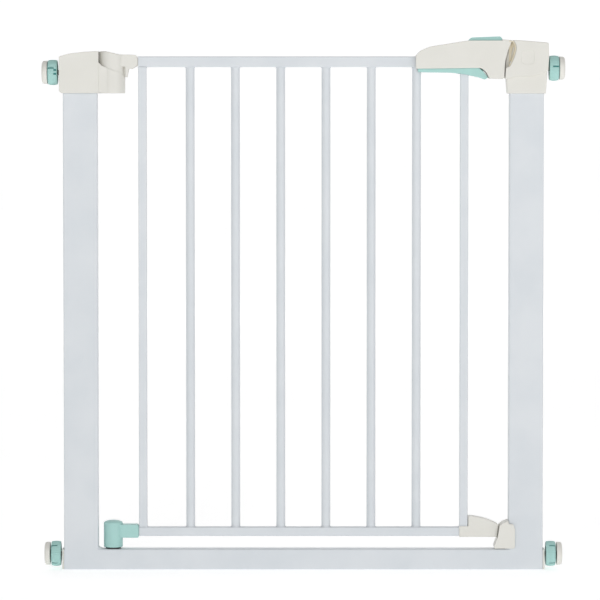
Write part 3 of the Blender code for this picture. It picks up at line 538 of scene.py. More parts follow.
bar_low, bar_high = corners_of(BAR_NODES[0])
BAR_RADIUS = (bar_high.x - bar_low.x) / 2
first_bar = drum("round_bar", bar_centre(BAR_NODES[0]), "Z", bar_high.z - bar_low.z, BAR_RADIUS)
edit_parts(first_bar, "FACE", lambda face: abs(face.normal.z) > 0.9)
bpy.ops.mesh.inset(thickness=1.0 * MM)
bpy.ops.mesh.extrude_region_move()
bpy.ops.transform.resize(value=(1.0, 1.0, 0.97), center_override=bar_centre(BAR_NODES[0]))
leave_edit()
for node in BAR_NODES:
    shift = Matrix.Translation(bar_centre(node) - bar_centre(BAR_NODES[0]))
    dress(copy_of(first_bar, "round_" + node, shift), "door", POWDER, node)
bpy.data.objects.remove(first_bar)

# %% [markdown]
# ## Weld beads
# Each joint of the door's frame has a small bead that was welded before painting. A bead is a
# torus whose ring wobbles a little, as a hand-laid bead does, and it is copied to every bar end.
# Round the square uprights the bead follows a rectangle: a curve with some depth, made a mesh.

# %% Weld beads
BEAD = 0.9 * MM
RIPPLES = 22


def round_bead(name, centre, radius):
    """A rippled ring around a round bar."""
    deselect()
    bpy.ops.mesh.primitive_torus_add(
        location=(0.0, 0.0, 0.0), major_segments=66, minor_segments=10, major_radius=radius,
        minor_radius=BEAD)
    bead = bpy.context.object
    bead.name = name
    for vert in bead.data.vertices:
        angle = atan2(vert.co.y, vert.co.x)
        vert.co *= 1.0 + 0.012 * sin(RIPPLES * angle)
    return moved(bead, Matrix.Translation(centre))


def square_bead(name, low, high, z, depth):
    """A bead around a rectangular tube."""
    deselect()
    bpy.ops.mesh.primitive_plane_add(size=1.0)
    bead = bpy.context.object
    bead.name = name
    moved(bead, Matrix.Translation(((low.x + high.x) / 2, (low.y + high.y) / 2, z))
          @ Matrix.Diagonal((high.x - low.x, high.y - low.y, 1.0, 1.0)))
    edit_all(bead)
    bpy.ops.mesh.bevel(offset=1.5 * MM, segments=4, affect="VERTICES")
    bpy.ops.mesh.select_all(action="SELECT")
    bpy.ops.mesh.delete(type="ONLY_FACE")
    leave_edit()
    bpy.ops.object.convert(target="CURVE")
    bead.data.bevel_depth = depth
    bead.data.bevel_resolution = 3
    bpy.ops.object.convert(target="MESH")
    return bpy.context.object


beads = []
for node in BAR_NODES:
    low, high = corners_of(node)
    for z in (low.z + 0.2 * MM, high.z - 0.2 * MM):
        middle = bar_centre(node)
        beads.append(round_bead("bead", (middle.x, middle.y, z), BAR_RADIUS - 0.1 * MM))
for node in ("door_hinge_upright", "door_latch_upright"):
    low, high = corners_of(node)
    beads.append(square_bead("bead", low, high, low.z + 0.2 * MM, 0.7 * MM))
    beads.append(square_bead("bead", low, high, high.z - 0.2 * MM, 0.7 * MM))
deselect()
for bead in beads:
    bead.select_set(True)
bpy.context.view_layer.objects.active = beads[0]
bpy.ops.object.join()
beads[0].name = "door_weld_beads"
dress(beads[0], "door", POWDER)

# %% [markdown]
# The posts stand on the sill with a fillet weld in each inner corner. Its front is ground flush,
# so all that shows is a small triangle of weld.

# %% Fillet welds of the frame
for side, x in (("left", HINGE_FACE_X), ("right", LATCH_X)):
    sign = 1 if side == "left" else -1
    toe, height = 6.5 * MM * sign, 4.2 * MM
    root = SILL_HIGH.z - 0.5 * MM
    outline = [(x - sign * MM, root), (x + toe, root), (x + toe * 0.42, root + height * 0.34),
               (x - sign * MM, root + height)]
    weld = prism("fillet_weld_" + side, outline, SILL_LOW.y + 1.2 * MM, SILL_HIGH.y - 1.2 * MM)
    soften(weld, 0.8 * MM, 3, 25)
    dress(weld, "frame", POWDER, smooth=60)

# %% [markdown]
# The sill's rounded edge would leave a groove under each post. On the real frame that groove is
# filled with weld and ground flush before painting, so post and sill read as one face. A short
# collar with the post's own rounded corners fills it.

# %% Ground welds
PROUD = 0.03 * MM
for side, low, high in (("left", LEFT_LOW, LEFT_HIGH), ("right", POST_LOW, POST_HIGH)):
    collar = block("ground_weld_" + side, (low.x, low.y - PROUD, SILL_HIGH.z - 3.0 * MM),
                   (high.x, high.y + PROUD, SILL_HIGH.z + 3.0 * MM))
    round_uprights(collar, 2.0 * MM, 5)
    dress(collar, "frame", POWDER)

# %% [markdown]
# ## Pieces kept from the engineering model
# Small fittings whose shape is already right only need soft edges. A copy of the node's mesh is
# merged, its flat faces are joined up, and a Bevel takes the edge off. Pieces that hide inside
# the housings keep their node and only get a finish.

# %% Softened copies


def softened(node, body, material, radius, segments=2):
    """A merged copy of a node with its edges rounded."""
    piece = bpy.data.objects.new("soft_" + node, frame["nodes"][node].data.copy())
    bpy.context.scene.collection.objects.link(piece)
    piece.data.materials.clear()
    edit_all(piece)
    bpy.ops.mesh.remove_doubles(threshold=0.002 * MM)
    bpy.ops.mesh.dissolve_limited(angle_limit=radians(1.0))
    leave_edit()
    soften(piece, radius, segments)
    return dress(piece, body, material, node)


for side in ("left", "right"):
    softened("sill_plug_" + side, "frame", CREAM, 0.7 * MM)
# The washer's black is partly painted shade: it stands for the shadowed gap under the foot.
softened("lower_pivot_washer", "frame", NYLON_AND_GAP_SHADE, 0.3 * MM)
softened("keeper_insert", "frame", BEIGE, 0.2 * MM)
softened("latch_bolt", "latch_bolt", ZINC, 0.4 * MM)

for node in ("post_bush_left", "post_bush_right", "lower_pivot_pin", "upper_hinge_pin",
             "trigger_pin", "bolt_spring", "lock_spring"):
    frame["nodes"][node].material_slots[0].material = ZINC

# %% [markdown]
# ## The cam of the rising hinge
# The door's knuckle rides on two ramps, each half a turn long, so the door climbs as it opens and
# its own weight closes it. A ramp is a block that is subdivided along its length and wrapped
# round the hinge axis, with one face that slopes as it turns. No operator draws a helical face,
# so the wrap is done by moving the block's corners in code.

# %% Cam ramps
lift = [c for c in frame["record"]["behaviour"]["couplings"] if c["joint"] == "door_lift"][0]
CAM_RISE = lift["ratio"] * pi
HOUSING_LOW = corners_of("hinge_cap")[0].z
CAM_DROP = 23.0 * MM
CAM_LOW = TOP - CAM_DROP
CAM_HIGH = CAM_LOW + CAM_RISE
CAM_GAP = 0.25 * MM
KNUCKLE = 19.0 * MM
MOVING = KNUCKLE - FIT
KNUCKLE_TOP = corners_of("upper_hinge_arm")[1].z
print("the cam lifts the door %.1f mm in half a turn" % (CAM_RISE / MM))


def cam_ramp(name, high_angle, sweep, radii, high, flat):
    """Half a turn of ramp between two radii, sloping down from its high end."""
    ramp = block(name, (-0.5, -0.5, -0.5), (0.5, 0.5, 0.5))
    edit_parts(ramp, "EDGE", lambda edge: edge.verts[0].co.x * edge.verts[1].co.x < 0)
    bpy.ops.mesh.subdivide(number_cuts=47)
    leave_edit()
    for vert in ramp.data.vertices:
        angle = sweep[0] + (vert.co.x + 0.5) * (sweep[1] - sweep[0])
        radius = radii[0] + (vert.co.y + 0.5) * (radii[1] - radii[0])
        turn = min(max((angle - high_angle) / pi, 0.0), 1.0)
        levels = sorted((flat, high - CAM_RISE * turn))
        height = levels[1] if vert.co.z > 0 else levels[0]
        vert.co = (HINGE_X + radius * cos(angle), radius * sin(angle), height)
    return point_out(ramp)


# %% [markdown]
# ## Screws at the back
# The housings are closed by pan-head screws from behind. One is turned on the lathe, its cross
# recess is cut with two crossed blocks, and it is copied to each node. A matching stepped hole
# is cut in every housing.

# %% Screws
HEAD_RADIUS = 3.3 * MM
HEAD_HEIGHT = 2.6 * MM


def screw_room(node):
    """The stepped clearance around a screw, from behind."""
    low, high = corners_of(node)
    x, z = (low.x + high.x) / 2, (low.z + high.z) / 2
    seat = high.y - HEAD_HEIGHT - 0.1 * MM
    head = drum("head_room", (x, seat + 5.0 * MM, z), "Y", 10.0 * MM, HEAD_RADIUS + 0.3 * MM, 32)
    shank = drum("shank_room", (x, (low.y + seat) / 2, z), "Y", seat - low.y + 2.0 * MM,
                 1.8 * MM, 24)
    join(head, shank)
    return head


def make_screw(node, body):
    """A pan-head screw with a cross recess, over its node."""
    low, high = corners_of(node)
    length = high.y - low.y
    profile = ((0.0, 0.0), (0.9 * MM, 0.0), (1.5 * MM, 1.4 * MM), (1.5 * MM, length - HEAD_HEIGHT),
               (HEAD_RADIUS, length - HEAD_HEIGHT), (HEAD_RADIUS, length - 1.3 * MM),
               (HEAD_RADIUS - 0.5 * MM, length - 0.6 * MM),
               (HEAD_RADIUS - 1.4 * MM, length - 0.15 * MM), (0.0, length))
    piece = lathe("pan_" + node, profile, 32)
    for size in ((1.9 * MM, 0.45 * MM), (0.45 * MM, 1.9 * MM)):
        slot = block("slot", (-size[0], -size[1], length - 1.3 * MM),
                     (size[0], size[1], length + MM))
        cut(piece, slot)
    place = Matrix.Translation(((low.x + high.x) / 2, low.y, (low.z + high.z) / 2))
    moved(piece, place @ Matrix.Rotation(-pi / 2, 4, "X"))
    return dress(piece, body, ZINC, node, smooth=30)


for node, body in (("hinge_cap_screw", "frame"), ("receiver_screw", "frame"),
                   ("handle_screw_1", "door"), ("handle_screw_2", "door")):
    make_screw(node, body)
frame["nodes"]["catch_screw"].material_slots[0].material = ZINC

# %% [markdown]
# ## The hinge cap
# This housing drops over the hinge post and carries the fixed half of the cam. Its top is a
# shallow dome in side view and all its outer edges are full. The outline is extruded, softened
# with a large radius, and then the barrel and its ramps are melted in. The post's socket is cut
# last, so it stays crisp.

# %% Hinge cap
FRAME_HALF = SILL_HIGH.y


def bolt_hole(joint, x):
    """The round hole for a wall bolt."""
    return drum("hole", (x, 0.0, JOINTS[joint]["pos_m"][2]), "X", 20.0 * MM, 4.5 * MM, 32)


width = (LEFT_HIGH.x - LEFT_LOW.x) / MM
top = (KNUCKLE_TOP - TOP) / MM
bottom = (HOUSING_LOW - TOP) / MM
side = (corners_of("hinge_cap")[0].x - LEFT_LOW.x) / MM
corners = ((side, bottom, 4.5), (side, 7.2, 2.5), (8.0, 11.2, 60.0), (width * 0.6, 13.9, 90.0),
           (width + 2.2, top, 0.8), (width + 2.2, bottom, 1.0))
outline = at(LEFT_LOW.x, TOP, rounded(corners, 8))
cap = prism("hinge_cap_housing", outline, -HOUSING, HOUSING)
soften(cap, 2.6 * MM, 4, 50)
seam = [(x, (CAM_HIGH - TOP) / MM - drop) for x, drop in
        ((-21.0, 0.0), (-19.0, 0.3), (-17.4, 2.0), (-15.4, 4.6), (-13.0, 5.9), (-9.5, 7.2),
         (-5.0, 9.2))]
floor = bottom + 1.0
filler = prism("filler", at(HINGE_X, TOP, [(-21.0, floor)] + seam + [(-5.0, floor)]),
               -HOUSING + 1.4 * MM, HOUSING - 1.4 * MM)
cut(filler, drum("sweep", (HINGE_X, 0.0, CAM_LOW + 59.0 * MM), "Z", 120.0 * MM,
                 KNUCKLE - 0.15 * MM, 96))
height = CAM_LOW - 0.4 * MM - HOUSING_LOW
barrel = drum("barrel", (HINGE_X, 0.0, HOUSING_LOW + height / 2), "Z", height, KNUCKLE, 96)
soften(barrel, 1.0 * MM, 3)
ramps = [cam_ramp("ramp", start, (start, start + pi + radians(4)), (8.4 * MM, KNUCKLE),
                  CAM_HIGH, CAM_LOW - 8.0 * MM) for start in (0.0, pi)]
join(cap, barrel, filler, *ramps)
socket = block("socket", (LEFT_LOW.x - FIT, -FRAME_HALF - FIT, HOUSING_LOW - 5.0 * MM),
               (HINGE_FACE_X + FIT, FRAME_HALF + FIT, TOP + FIT))
keyway = block("keyway", (HINGE_X - 3.2 * MM, -3.2 * MM, HOUSING_LOW - 5.0 * MM),
               (HINGE_X + 3.2 * MM, 3.2 * MM, CAM_LOW + 5.0 * MM))
hole = bolt_hole("upper_left_turn", LEFT_LOW.x - 5.0 * MM)
cut(cap, socket, keyway, hole, screw_room("hinge_cap_screw"))
dress(cap, "frame", CREAM, "hinge_cap")

# %% [markdown]
# ## The upper hinge arm
# The moving half of the hinge is one moulding: a knuckle that sits on the cam, an arm that runs
# to the door's top rail, and a nose that hangs beside the barrel. The knuckle's crown is cut by a
# sloping plane, which a bisect does in one stroke.

# %% Tongue into a rail


def spigot(low, high):
    """The tongue that plugs into a rail's open end."""
    room = TUBE_WALL + FIT
    return block("spigot", (low.x - 2.0 * MM, low.y + room, low.z + room),
                 (low.x + 25.0 * MM, high.y - room, high.z - room))


# %% Upper hinge arm
disc_z = CAM_HIGH + CAM_GAP + 0.5 * MM
knuckle = drum("hinge_arm", (HINGE_X, 0.0, (disc_z + KNUCKLE_TOP) / 2), "Z",
               KNUCKLE_TOP - disc_z, MOVING, 96)
edit_all(knuckle)
bpy.ops.mesh.bisect(plane_co=(HINGE_X - 8.5 * MM, 0.0, KNUCKLE_TOP),
                    plane_no=(0.24, 0.0, 1.0), use_fill=True, clear_outer=True)
leave_edit()
soften(knuckle, 1.4 * MM, 4)
core = drum("core", (HINGE_X, 0.0, CAM_LOW + CAM_GAP + 12.0 * MM), "Z", 24.0 * MM, 8.0 * MM, 48)
ramps = [cam_ramp("ramp", start, (start - radians(4), start + pi - radians(2.4)),
                  (7.5 * MM, MOVING), CAM_HIGH + CAM_GAP, CAM_HIGH + 4.5 * MM)
         for start in (0.0, pi)]
arm_half = RAIL_HIGH.y + 1.5 * MM
start = KNUCKLE / MM + 0.6
end = (RAIL_LOW.x - HINGE_X) / MM - 0.5
low = (CAM_LOW + CAM_GAP - TOP) / MM
corners = ((start, low, 0.6), (start, -7.6, 0.0), (9.0, -7.6, 0.0), (9.0, 10.3, 0.0),
           (start, 10.2, 0.0), (start + 6.0, 10.1, 0.0),
           (end - 2.0, 9.7, 3.5), (end, 4.0, 3.0), (end, -2.5, 3.0), (end - 2.2, -7.0, 2.0),
           (end - 7.5, -10.6, 2.5), (start + 5.0, -10.6, 1.0), (start + 2.4, low, 1.0),
           (start + 1.2, low, 0.0))
arm = prism("arm", at(HINGE_X, TOP, rounded(corners, 5)), -arm_half, arm_half)
for vert in arm.data.vertices:
    along = min(max((vert.co.x - HINGE_X - KNUCKLE) / (end * MM - KNUCKLE), 0.0), 1.0)
    vert.co.y *= 1.0 + 0.42 * (1.0 - along) ** 2
soften(arm, 0.8 * MM, 3, 50)
web = cam_ramp("web", pi, (radians(338.0), radians(357.6)), (17.5 * MM, 20.8 * MM),
               CAM_HIGH + CAM_GAP, TOP + 2.6 * MM)
join(knuckle, core, *ramps, arm, web, spigot(RAIL_LOW, RAIL_HIGH))
bore_top = KNUCKLE_TOP - 4.6 * MM
cut(knuckle, drum("bore", (HINGE_X, 0.0, bore_top - 25.0 * MM), "Z", 50.0 * MM, 4.4 * MM, 32))
dress(knuckle, "door", CREAM, "upper_hinge_arm")

# %% [markdown]
# ## The lower hinge foot
# The door stands on a mint barrel with a domed head, which turns on a pin in the sill. A barrel
# is turned, so its half profile is spun, and the arm that reaches into the bottom rail is a
# rounded block melted into its side.

# %% Lower hinge foot
low, high = corners_of("lower_hinge_foot")
radius = 13.9 * MM
height = high.z - low.z
shoulder = height - 4.6 * MM
dome = [(radius * cos(angle), shoulder + 4.6 * MM * sin(angle))
        for angle in [radians(10 * step) for step in range(1, 9)]]
profile = [(0.0, 24.3 * MM), (4.4 * MM, 24.3 * MM), (4.4 * MM, 0.0), (radius - 0.6 * MM, 0.0),
           (radius, 0.6 * MM), (radius, shoulder)] + dome + [(0.0, height)]
foot = moved(lathe("hinge_foot", profile), Matrix.Translation((HINGE_X, 0.0, low.z)))
half = FOOT_RAIL_HIGH.y + 1.5 * MM
end = (FOOT_RAIL_LOW.x - HINGE_X) / MM - 0.5
top = (FOOT_RAIL_HIGH.z - low.z) / MM + 3.9
bottom = (FOOT_RAIL_LOW.z - low.z) / MM - 2.4
corners = ((10.0, bottom, 0.0), (10.0, top, 0.0), (end - 2.4, top, 1.0), (end, top - 2.4, 1.0),
           (end, bottom + 1.0, 1.0), (end - 1.0, bottom, 0.5))
arm = prism("arm", at(HINGE_X, low.z, rounded(corners, 5)), -half, half)
soften(arm, 1.0 * MM, 3, 50)
join(foot, arm, spigot(FOOT_RAIL_LOW, FOOT_RAIL_HIGH))
dress(foot, "door", MINT, "lower_hinge_foot")

# %% [markdown]
# ## The handle
# The handle is a long hollow grip in two halves, screwed together from behind. Its side outline
# rises in one easy curve to the lock slider, leans back along the receiver and drops to a short
# lobe. The solid is extruded from that outline and given full edges, then it is hollowed with the
# same outline set in by the wall. Its openings follow: the rail, the trigger, the bolt and the
# slider. Two large blocks split it into the front and rear shell.

# %% Handle outline
LATCH_GAP = 1.5
rail_top = (RAIL_HIGH.z - TOP) / MM
rail_low = (RAIL_LOW.z - TOP) / MM
HANDLE_CORNERS = (
    (-136.5, rail_low - 2.5, 1.0), (-136.5, rail_top + 1.3, 4.0), (-130.0, rail_top + 8.3, 9.0),
    (-117.0, rail_top + 14.0, 40.0), (-91.7, 25.5, 120.0), (-59.6, 30.8, 160.0),
    (-11.0, 32.0, 60.0),
    (5.0 - LATCH_GAP, 31.0, 1.0), (-1.4 - LATCH_GAP, 15.3, 60.0), (-5.6 - LATCH_GAP, -1.0, 60.0),
    (-6.6 - LATCH_GAP, -25.0, 1.5), (-29.0, -24.5, 1.5), (-30.5, -22.8, 1.0), (-34.6, -15.1, 8.0),
    (-41.4, rail_low - 1.5, 8.0))
CAVITY_CORNERS = [(x, z) for x, z, radius in HANDLE_CORNERS]
WALL = 2.4
SADDLE = 30.3 * MM
FULL_EDGE = 3.4 * MM


def handle_solid():
    """The handle as one hollow body, before it is split."""
    outline = at(LATCH_X, TOP, rounded(HANDLE_CORNERS, 7))
    body = prism("handle", outline, -HANDLE_FACE, HANDLE_FACE)
    soften(body, FULL_EDGE, 5, 50)
    inside = HANDLE_FACE - WALL * MM
    cavity = prism("cavity", at(LATCH_X, TOP, inset(CAVITY_CORNERS, WALL)), -inside, inside)
    cut(body, cavity)
    return body


# %% Openings in the handle


def handle_openings():
    """The blocks that open the handle for the pieces that pass through it."""
    slack = 0.4 * MM
    bolt_low, bolt_high = corners_of("latch_bolt")
    slide_low, slide_high = corners_of("lock_slider")
    trigger_low, trigger_high = corners_of("trigger")
    bolt_z = bolt_high.z - 14.0 * MM
    left = LATCH_X - 137.0 * MM
    rail = block("rail", (left - 5.0 * MM, RAIL_LOW.y - slack, RAIL_LOW.z - slack),
                 (RAIL_HIGH.x + slack, RAIL_HIGH.y + slack, RAIL_HIGH.z + slack))
    trigger = block("trigger_slot", (left - 5.0 * MM, trigger_low.y - 0.5 * MM, TOP - 30.0 * MM),
                    (LATCH_X - 28.0 * MM, trigger_high.y + 0.5 * MM, TOP - 7.0 * MM))
    bolt = block("bolt_slot", (LATCH_X - 20.0 * MM, bolt_low.y - slack, bolt_z - slack),
                 (LATCH_X + 20.0 * MM, bolt_high.y + slack, bolt_high.z + slack))
    slider = block("slider_slot",
                   (slide_low.x - 8.6 * MM, slide_low.y - 0.5 * MM, TOP + 22.0 * MM),
                   (slide_high.x + 0.6 * MM, slide_high.y + 0.5 * MM, TOP + 60.0 * MM))
    round_uprights(slider, 2.0 * MM, 4)
    saddle = block("saddle", (slide_low.x - 8.6 * MM, -60.0 * MM, TOP + SADDLE),
                   (slide_high.x + 0.6 * MM, 60.0 * MM, TOP + 60.0 * MM))
    return rail, trigger, bolt, slider, saddle


# %% Handle shells
whole = handle_solid()
cut(whole, *handle_openings())
SEAM = 0.15 * MM
for side, name in ((-1, "front"), (1, "rear")):
    shell = copy_of(whole, "handle_%s" % name)
    limits = sorted((-side * 60.0 * MM, side * SEAM))
    cut(shell, block("other_half", (LATCH_X - 0.2, limits[0], TOP - 0.1),
                     (LATCH_X + 0.1, limits[1], TOP + 0.1)))
    for node in ("handle_screw_1", "handle_screw_2"):
        low, high = corners_of(node)
        x, z = (low.x + high.x) / 2, (low.z + high.z) / 2
        inside = HANDLE_FACE - WALL * MM
        middle = side * (SEAM + inside + MM) / 2
        boss = drum("boss", (x, middle, z), "Y", inside + MM - SEAM, 4.0 * MM, 40)
        join(shell, boss)
        cut(shell, screw_room(node))
    dress(shell, "door", CREAM, "handle_%s_shell" % name)
bpy.data.objects.remove(whole)

# %% [markdown]
# ## The trigger and the lock slider
# Both are mint, so a parent sees at once what to touch. The trigger is a channel that straddles
# the rail: thin at its pivot, deeper under the fingers, with a lip that closes the notch. The
# slider is a low wedge with grip grooves cut across its top.

# %% Trigger
low, high = corners_of("trigger")
corners = ((-133.4, -15.3, 1.0), (-133.4, -1.0, 1.5), (-123.0, -1.0, 2.0), (-119.0, -8.6, 2.0),
           (-45.0, -8.6, 4.0), (-37.2, -15.4, 8.0), (-31.2, -23.4, 0.8), (-35.5, -26.0, 1.2),
           (-42.0, -23.4, 20.0), (-62.0, -19.0, 60.0), (-85.0, -15.9, 90.0))
lever = prism("trigger_lever", at(LATCH_X, TOP, rounded(corners, 6)), low.y, high.y)
soften(lever, 0.9 * MM, 3, 50)
wall = high.y - 2.0 * MM
floor = ((-140.0, 20.0), (-34.0, 20.0), (-34.0, -22.0), (-36.2, -23.4), (-42.0, -21.4),
         (-62.0, -17.3), (-72.3, -15.2), (-85.0, -13.9), (-140.0, -13.4))
channel = prism("channel", at(LATCH_X, TOP, floor), -wall, wall)
upright_low, upright_high = corners_of("door_latch_upright")
window = block("window", (upright_low.x - 3.0 * MM, upright_low.y - 0.8 * MM, TOP - 40.0 * MM),
               (upright_high.x + 1.5 * MM, upright_high.y + 0.8 * MM, TOP + 20.0 * MM))
last_bar = corners_of(BAR_NODES[-1])[1]
bar_room = block("bar_room",
                 (last_bar.x - 40.0 * MM, upright_low.y - 0.8 * MM, TOP - 40.0 * MM),
                 (last_bar.x + 1.5 * MM, upright_high.y + 0.8 * MM, TOP + 20.0 * MM))
pivot = JOINTS["trigger_squeeze"]["pos_m"]
bore = drum("bore", pivot, "Y", 60.0 * MM, 1.8 * MM, 24)
cut(lever, channel, window, bar_room, bore)
finger_x = RAIL_HIGH.x + 17.5 * MM
finger = block("finger", (finger_x, -4.0 * MM, TOP - 23.0 * MM),
               (finger_x + 4.0 * MM, 4.0 * MM, TOP - 10.5 * MM))
join(lever, finger)
dress(lever, "trigger", MINT, "trigger")

# %% Lock slider
low, high = corners_of("lock_slider")
length = (high.x - low.x) / MM
foot = (low.z - TOP) / MM
corners = ((0.0, foot, 0.5), (0.0, 32.0, 1.5), (3.4, 34.7, 2.0), (length - 3.0, 36.5, 2.0),
           (length, 33.6, 1.2), (length, foot, 0.5))
slider = prism("lock_slide_button", at(low.x, TOP, rounded(corners, 5)), low.y, high.y)
flat = SADDLE / MM + 0.25
wide = ((0.0, flat, 0.4), (0.0, 32.2, 1.0), (3.4, 34.9, 2.0), (length - 3.0, 36.5, 2.0),
        (length, 33.6, 1.2), (length, flat, 0.4))
button = prism("button", at(low.x, TOP, rounded(wide, 5)), 1.7 * low.y, 1.7 * high.y)
soften(button, 1.1 * MM, 4, 50)
join(slider, button)
for index in range(6):
    x = low.x + (14.0 + 4.0 * index) * MM
    rise = 35.2 + 0.1 * index
    groove = drum("groove", (x, 0.0, TOP + rise * MM + 0.9 * MM), "Y", 15.0 * MM, 1.4 * MM, 24)
    cut(slider, groove)
dress(slider, "lock_slider", MINT, "lock_slider")

# %% [markdown]
# ## The latch receiver
# The housing on the latch post has a broad head with a soft shoulder over a narrower neck. Both
# are outlines with full edges, melted together. The handle's end fits against its leaning side,
# where a beige keeper lines a scoop: as the door closes, the bolt slides up the scoop and springs
# into the pocket behind it. The scoop is the overlap of a side outline and a plan outline. The
# keeper is what lies between two scoops of different depth.

# %% Scoop shapes


def plan_prism(name, corners, low, high):
    """An outline in plan, extruded upwards."""
    upright = prism(name, corners, low, high)
    return moved(upright, Matrix(((1, 0, 0, 0), (0, 0, 1, 0), (0, 1, 0, 0), (0, 0, 0, 1))))


def scoop(name, deeper, grow):
    """The scoop's volume, deeper by a skin and wider by a margin."""
    side = rounded(((-20.0, -9.0 - grow, 0.0), (-20.0, 29.2 + grow, 0.0),
                    (4.6 + grow, 29.2 + grow, 1.5), (8.2 + grow, 24.0, 4.0),
                    (8.6 + grow, 17.5, 8.0), (7.0 + grow, 10.5, 20.0), (3.2 + grow, 0.5, 20.0),
                    (-0.6 + grow, -7.0, 3.0), (-6.0, -9.0 - grow, 1.5)), 5)
    shape = prism(name, at(LATCH_X, TOP, side), -HOUSING - 2.0 * MM, 0.0)
    plan = at(LATCH_X, 0.0, ((-30.0, -30.0), (10.2, -30.0), (10.2, -17.5 + deeper),
                             (2.5, -9.4 + deeper), (-30.0, -9.4 + deeper)))
    cutter = point_out(plan_prism("plan", plan, TOP - 0.06, TOP + 0.06))
    combine(shape, cutter, "INTERSECT")
    return shape


# %% Receiver
NECK_STEP = 3.4 * MM
width = (POST_HIGH.x - LATCH_X) / MM
bottom = (corners_of("latch_receiver")[0].z - TOP) / MM
head = ((-6.6, -25.0, 3.0), (-5.6, -1.4, 60.0), (-1.4, 15.0, 60.0), (5.0, 31.4, 1.2),
        (width + 4.0, 27.6, 60.0), (width + 6.4, 26.3, 1.5), (width + 7.0, 8.0, 60.0),
        (width + 5.6, -13.5, 3.0), (width - 4.0, -17.5, 12.0), (width - 16.0, -21.0, 40.0),
        (3.0, -22.6, 8.0), (-1.5, -25.6, 3.0))
receiver = prism("receiver_housing", at(LATCH_X, TOP, rounded(head, 7)), -HOUSING, HOUSING)
soften(receiver, FULL_EDGE, 5, 50)
neck = ((-4.6, -12.0, 0.0), (width + 4.6, -10.0, 0.0), (width + 4.3, -22.0, 30.0),
        (width + 2.6, bottom, 1.5), (-3.4, bottom, 1.5), (-4.6, -30.0, 6.0))
collar = prism("collar", at(LATCH_X, TOP, rounded(neck, 5)), -HOUSING + NECK_STEP,
               HOUSING - NECK_STEP)
soften(collar, 2.2 * MM, 4, 50)
join(receiver, collar)
socket = block("socket", (LATCH_X - FIT, -FRAME_HALF - FIT, HOUSING_LOW - 9.0 * MM),
               (POST_HIGH.x + FIT, FRAME_HALF + FIT, TOP + FIT))
keeper_low, keeper_high = corners_of("keeper_insert")
pocket = block("pocket", (LATCH_X - 20.0 * MM, keeper_low.y - FIT, keeper_low.z - FIT),
               (keeper_high.x + FIT, keeper_high.y + FIT, keeper_high.z + FIT))
hole = bolt_hole("upper_right_turn", POST_HIGH.x + 5.0 * MM)
cut(receiver, socket, pocket, hole, screw_room("receiver_screw"), scoop("scoop", 0.9, 0.9))
panel = rounded(((16.5, -4.2, 5.0), (16.5, 15.8, 5.0), (35.5, 15.8, 5.0), (35.5, -4.2, 5.0)), 8)
recess = prism("recess", at(LATCH_X, TOP, panel), -HOUSING - 2.0 * MM, -HOUSING + 0.5 * MM)
soften(recess, 0.45 * MM, 3, 50)
cut(receiver, recess)
dress(receiver, "frame", CREAM, "latch_receiver")

# %% Keeper lining
lining = scoop("keeper_lining", 0.6, 0.5)
cut(lining, scoop("inner", 0.0, -1.0))
slot = rounded(((6.9, 20.8, 0.9), (4.9, 20.8, 0.9), (-0.6, -1.8, 0.9), (1.4, -1.8, 0.9)), 4)
cut(lining, prism("groove", at(LATCH_X, TOP, slot), -HOUSING - 2.0 * MM, -9.0 * MM))
front = block("front", (LATCH_X - 40.0 * MM, -HOUSING - 9.0 * MM, TOP - 40.0 * MM),
              (LATCH_X + 40.0 * MM, -HOUSING + 1.0 * MM, TOP + 60.0 * MM))
left = block("left", (LATCH_X - 40.0 * MM, -HOUSING - 9.0 * MM, TOP - 40.0 * MM),
             (LATCH_X - 1.2 * MM, 9.0 * MM, TOP + 60.0 * MM))
cut(lining, front, left)
dress(lining, "frame", BEIGE)

# %% [markdown]
# ## The lower latch
# At the foot of the door a nose sleeves over the rail's end, and a catch clipped round the post
# stops it from being pushed through. The nose falls away in one arc, and the catch has the same
# lean, so the gap between them is even.

# %% Latch nose
node_low, node_high = corners_of("lower_latch_nose")
low = (node_low.z - TOP) / MM
end = (RAIL_HIGH.x - LATCH_X) / MM
sleeve_top = (FOOT_RAIL_HIGH.z - TOP) / MM + 1.7
corners = ((end - 12.5, low, 0.8), (end - 12.5, sleeve_top, 0.8), (end + 0.8, sleeve_top, 0.0),
           (end + 0.8, low + 30.9, 0.8), (end + 6.0, low + 30.9, 20.0),
           (-33.7, low + 27.4, 60.0), (-16.6, low + 19.8, 2.5), (-14.6, low + 17.0, 1.5),
           (-16.8, low, 0.8))
nose = prism("latch_nose", at(LATCH_X, TOP, rounded(corners, 6)), node_low.y, node_high.y)
soften(nose, 1.2 * MM, 3, 50)
sleeve = block("sleeve", (FOOT_RAIL_HIGH.x - 20.0 * MM, FOOT_RAIL_LOW.y - FIT,
                          FOOT_RAIL_LOW.z - FIT),
               (FOOT_RAIL_HIGH.x + FIT, FOOT_RAIL_HIGH.y + FIT, FOOT_RAIL_HIGH.z + 5.0 * MM))
cut(nose, sleeve)
dress(nose, "door", CREAM, "lower_latch_nose")

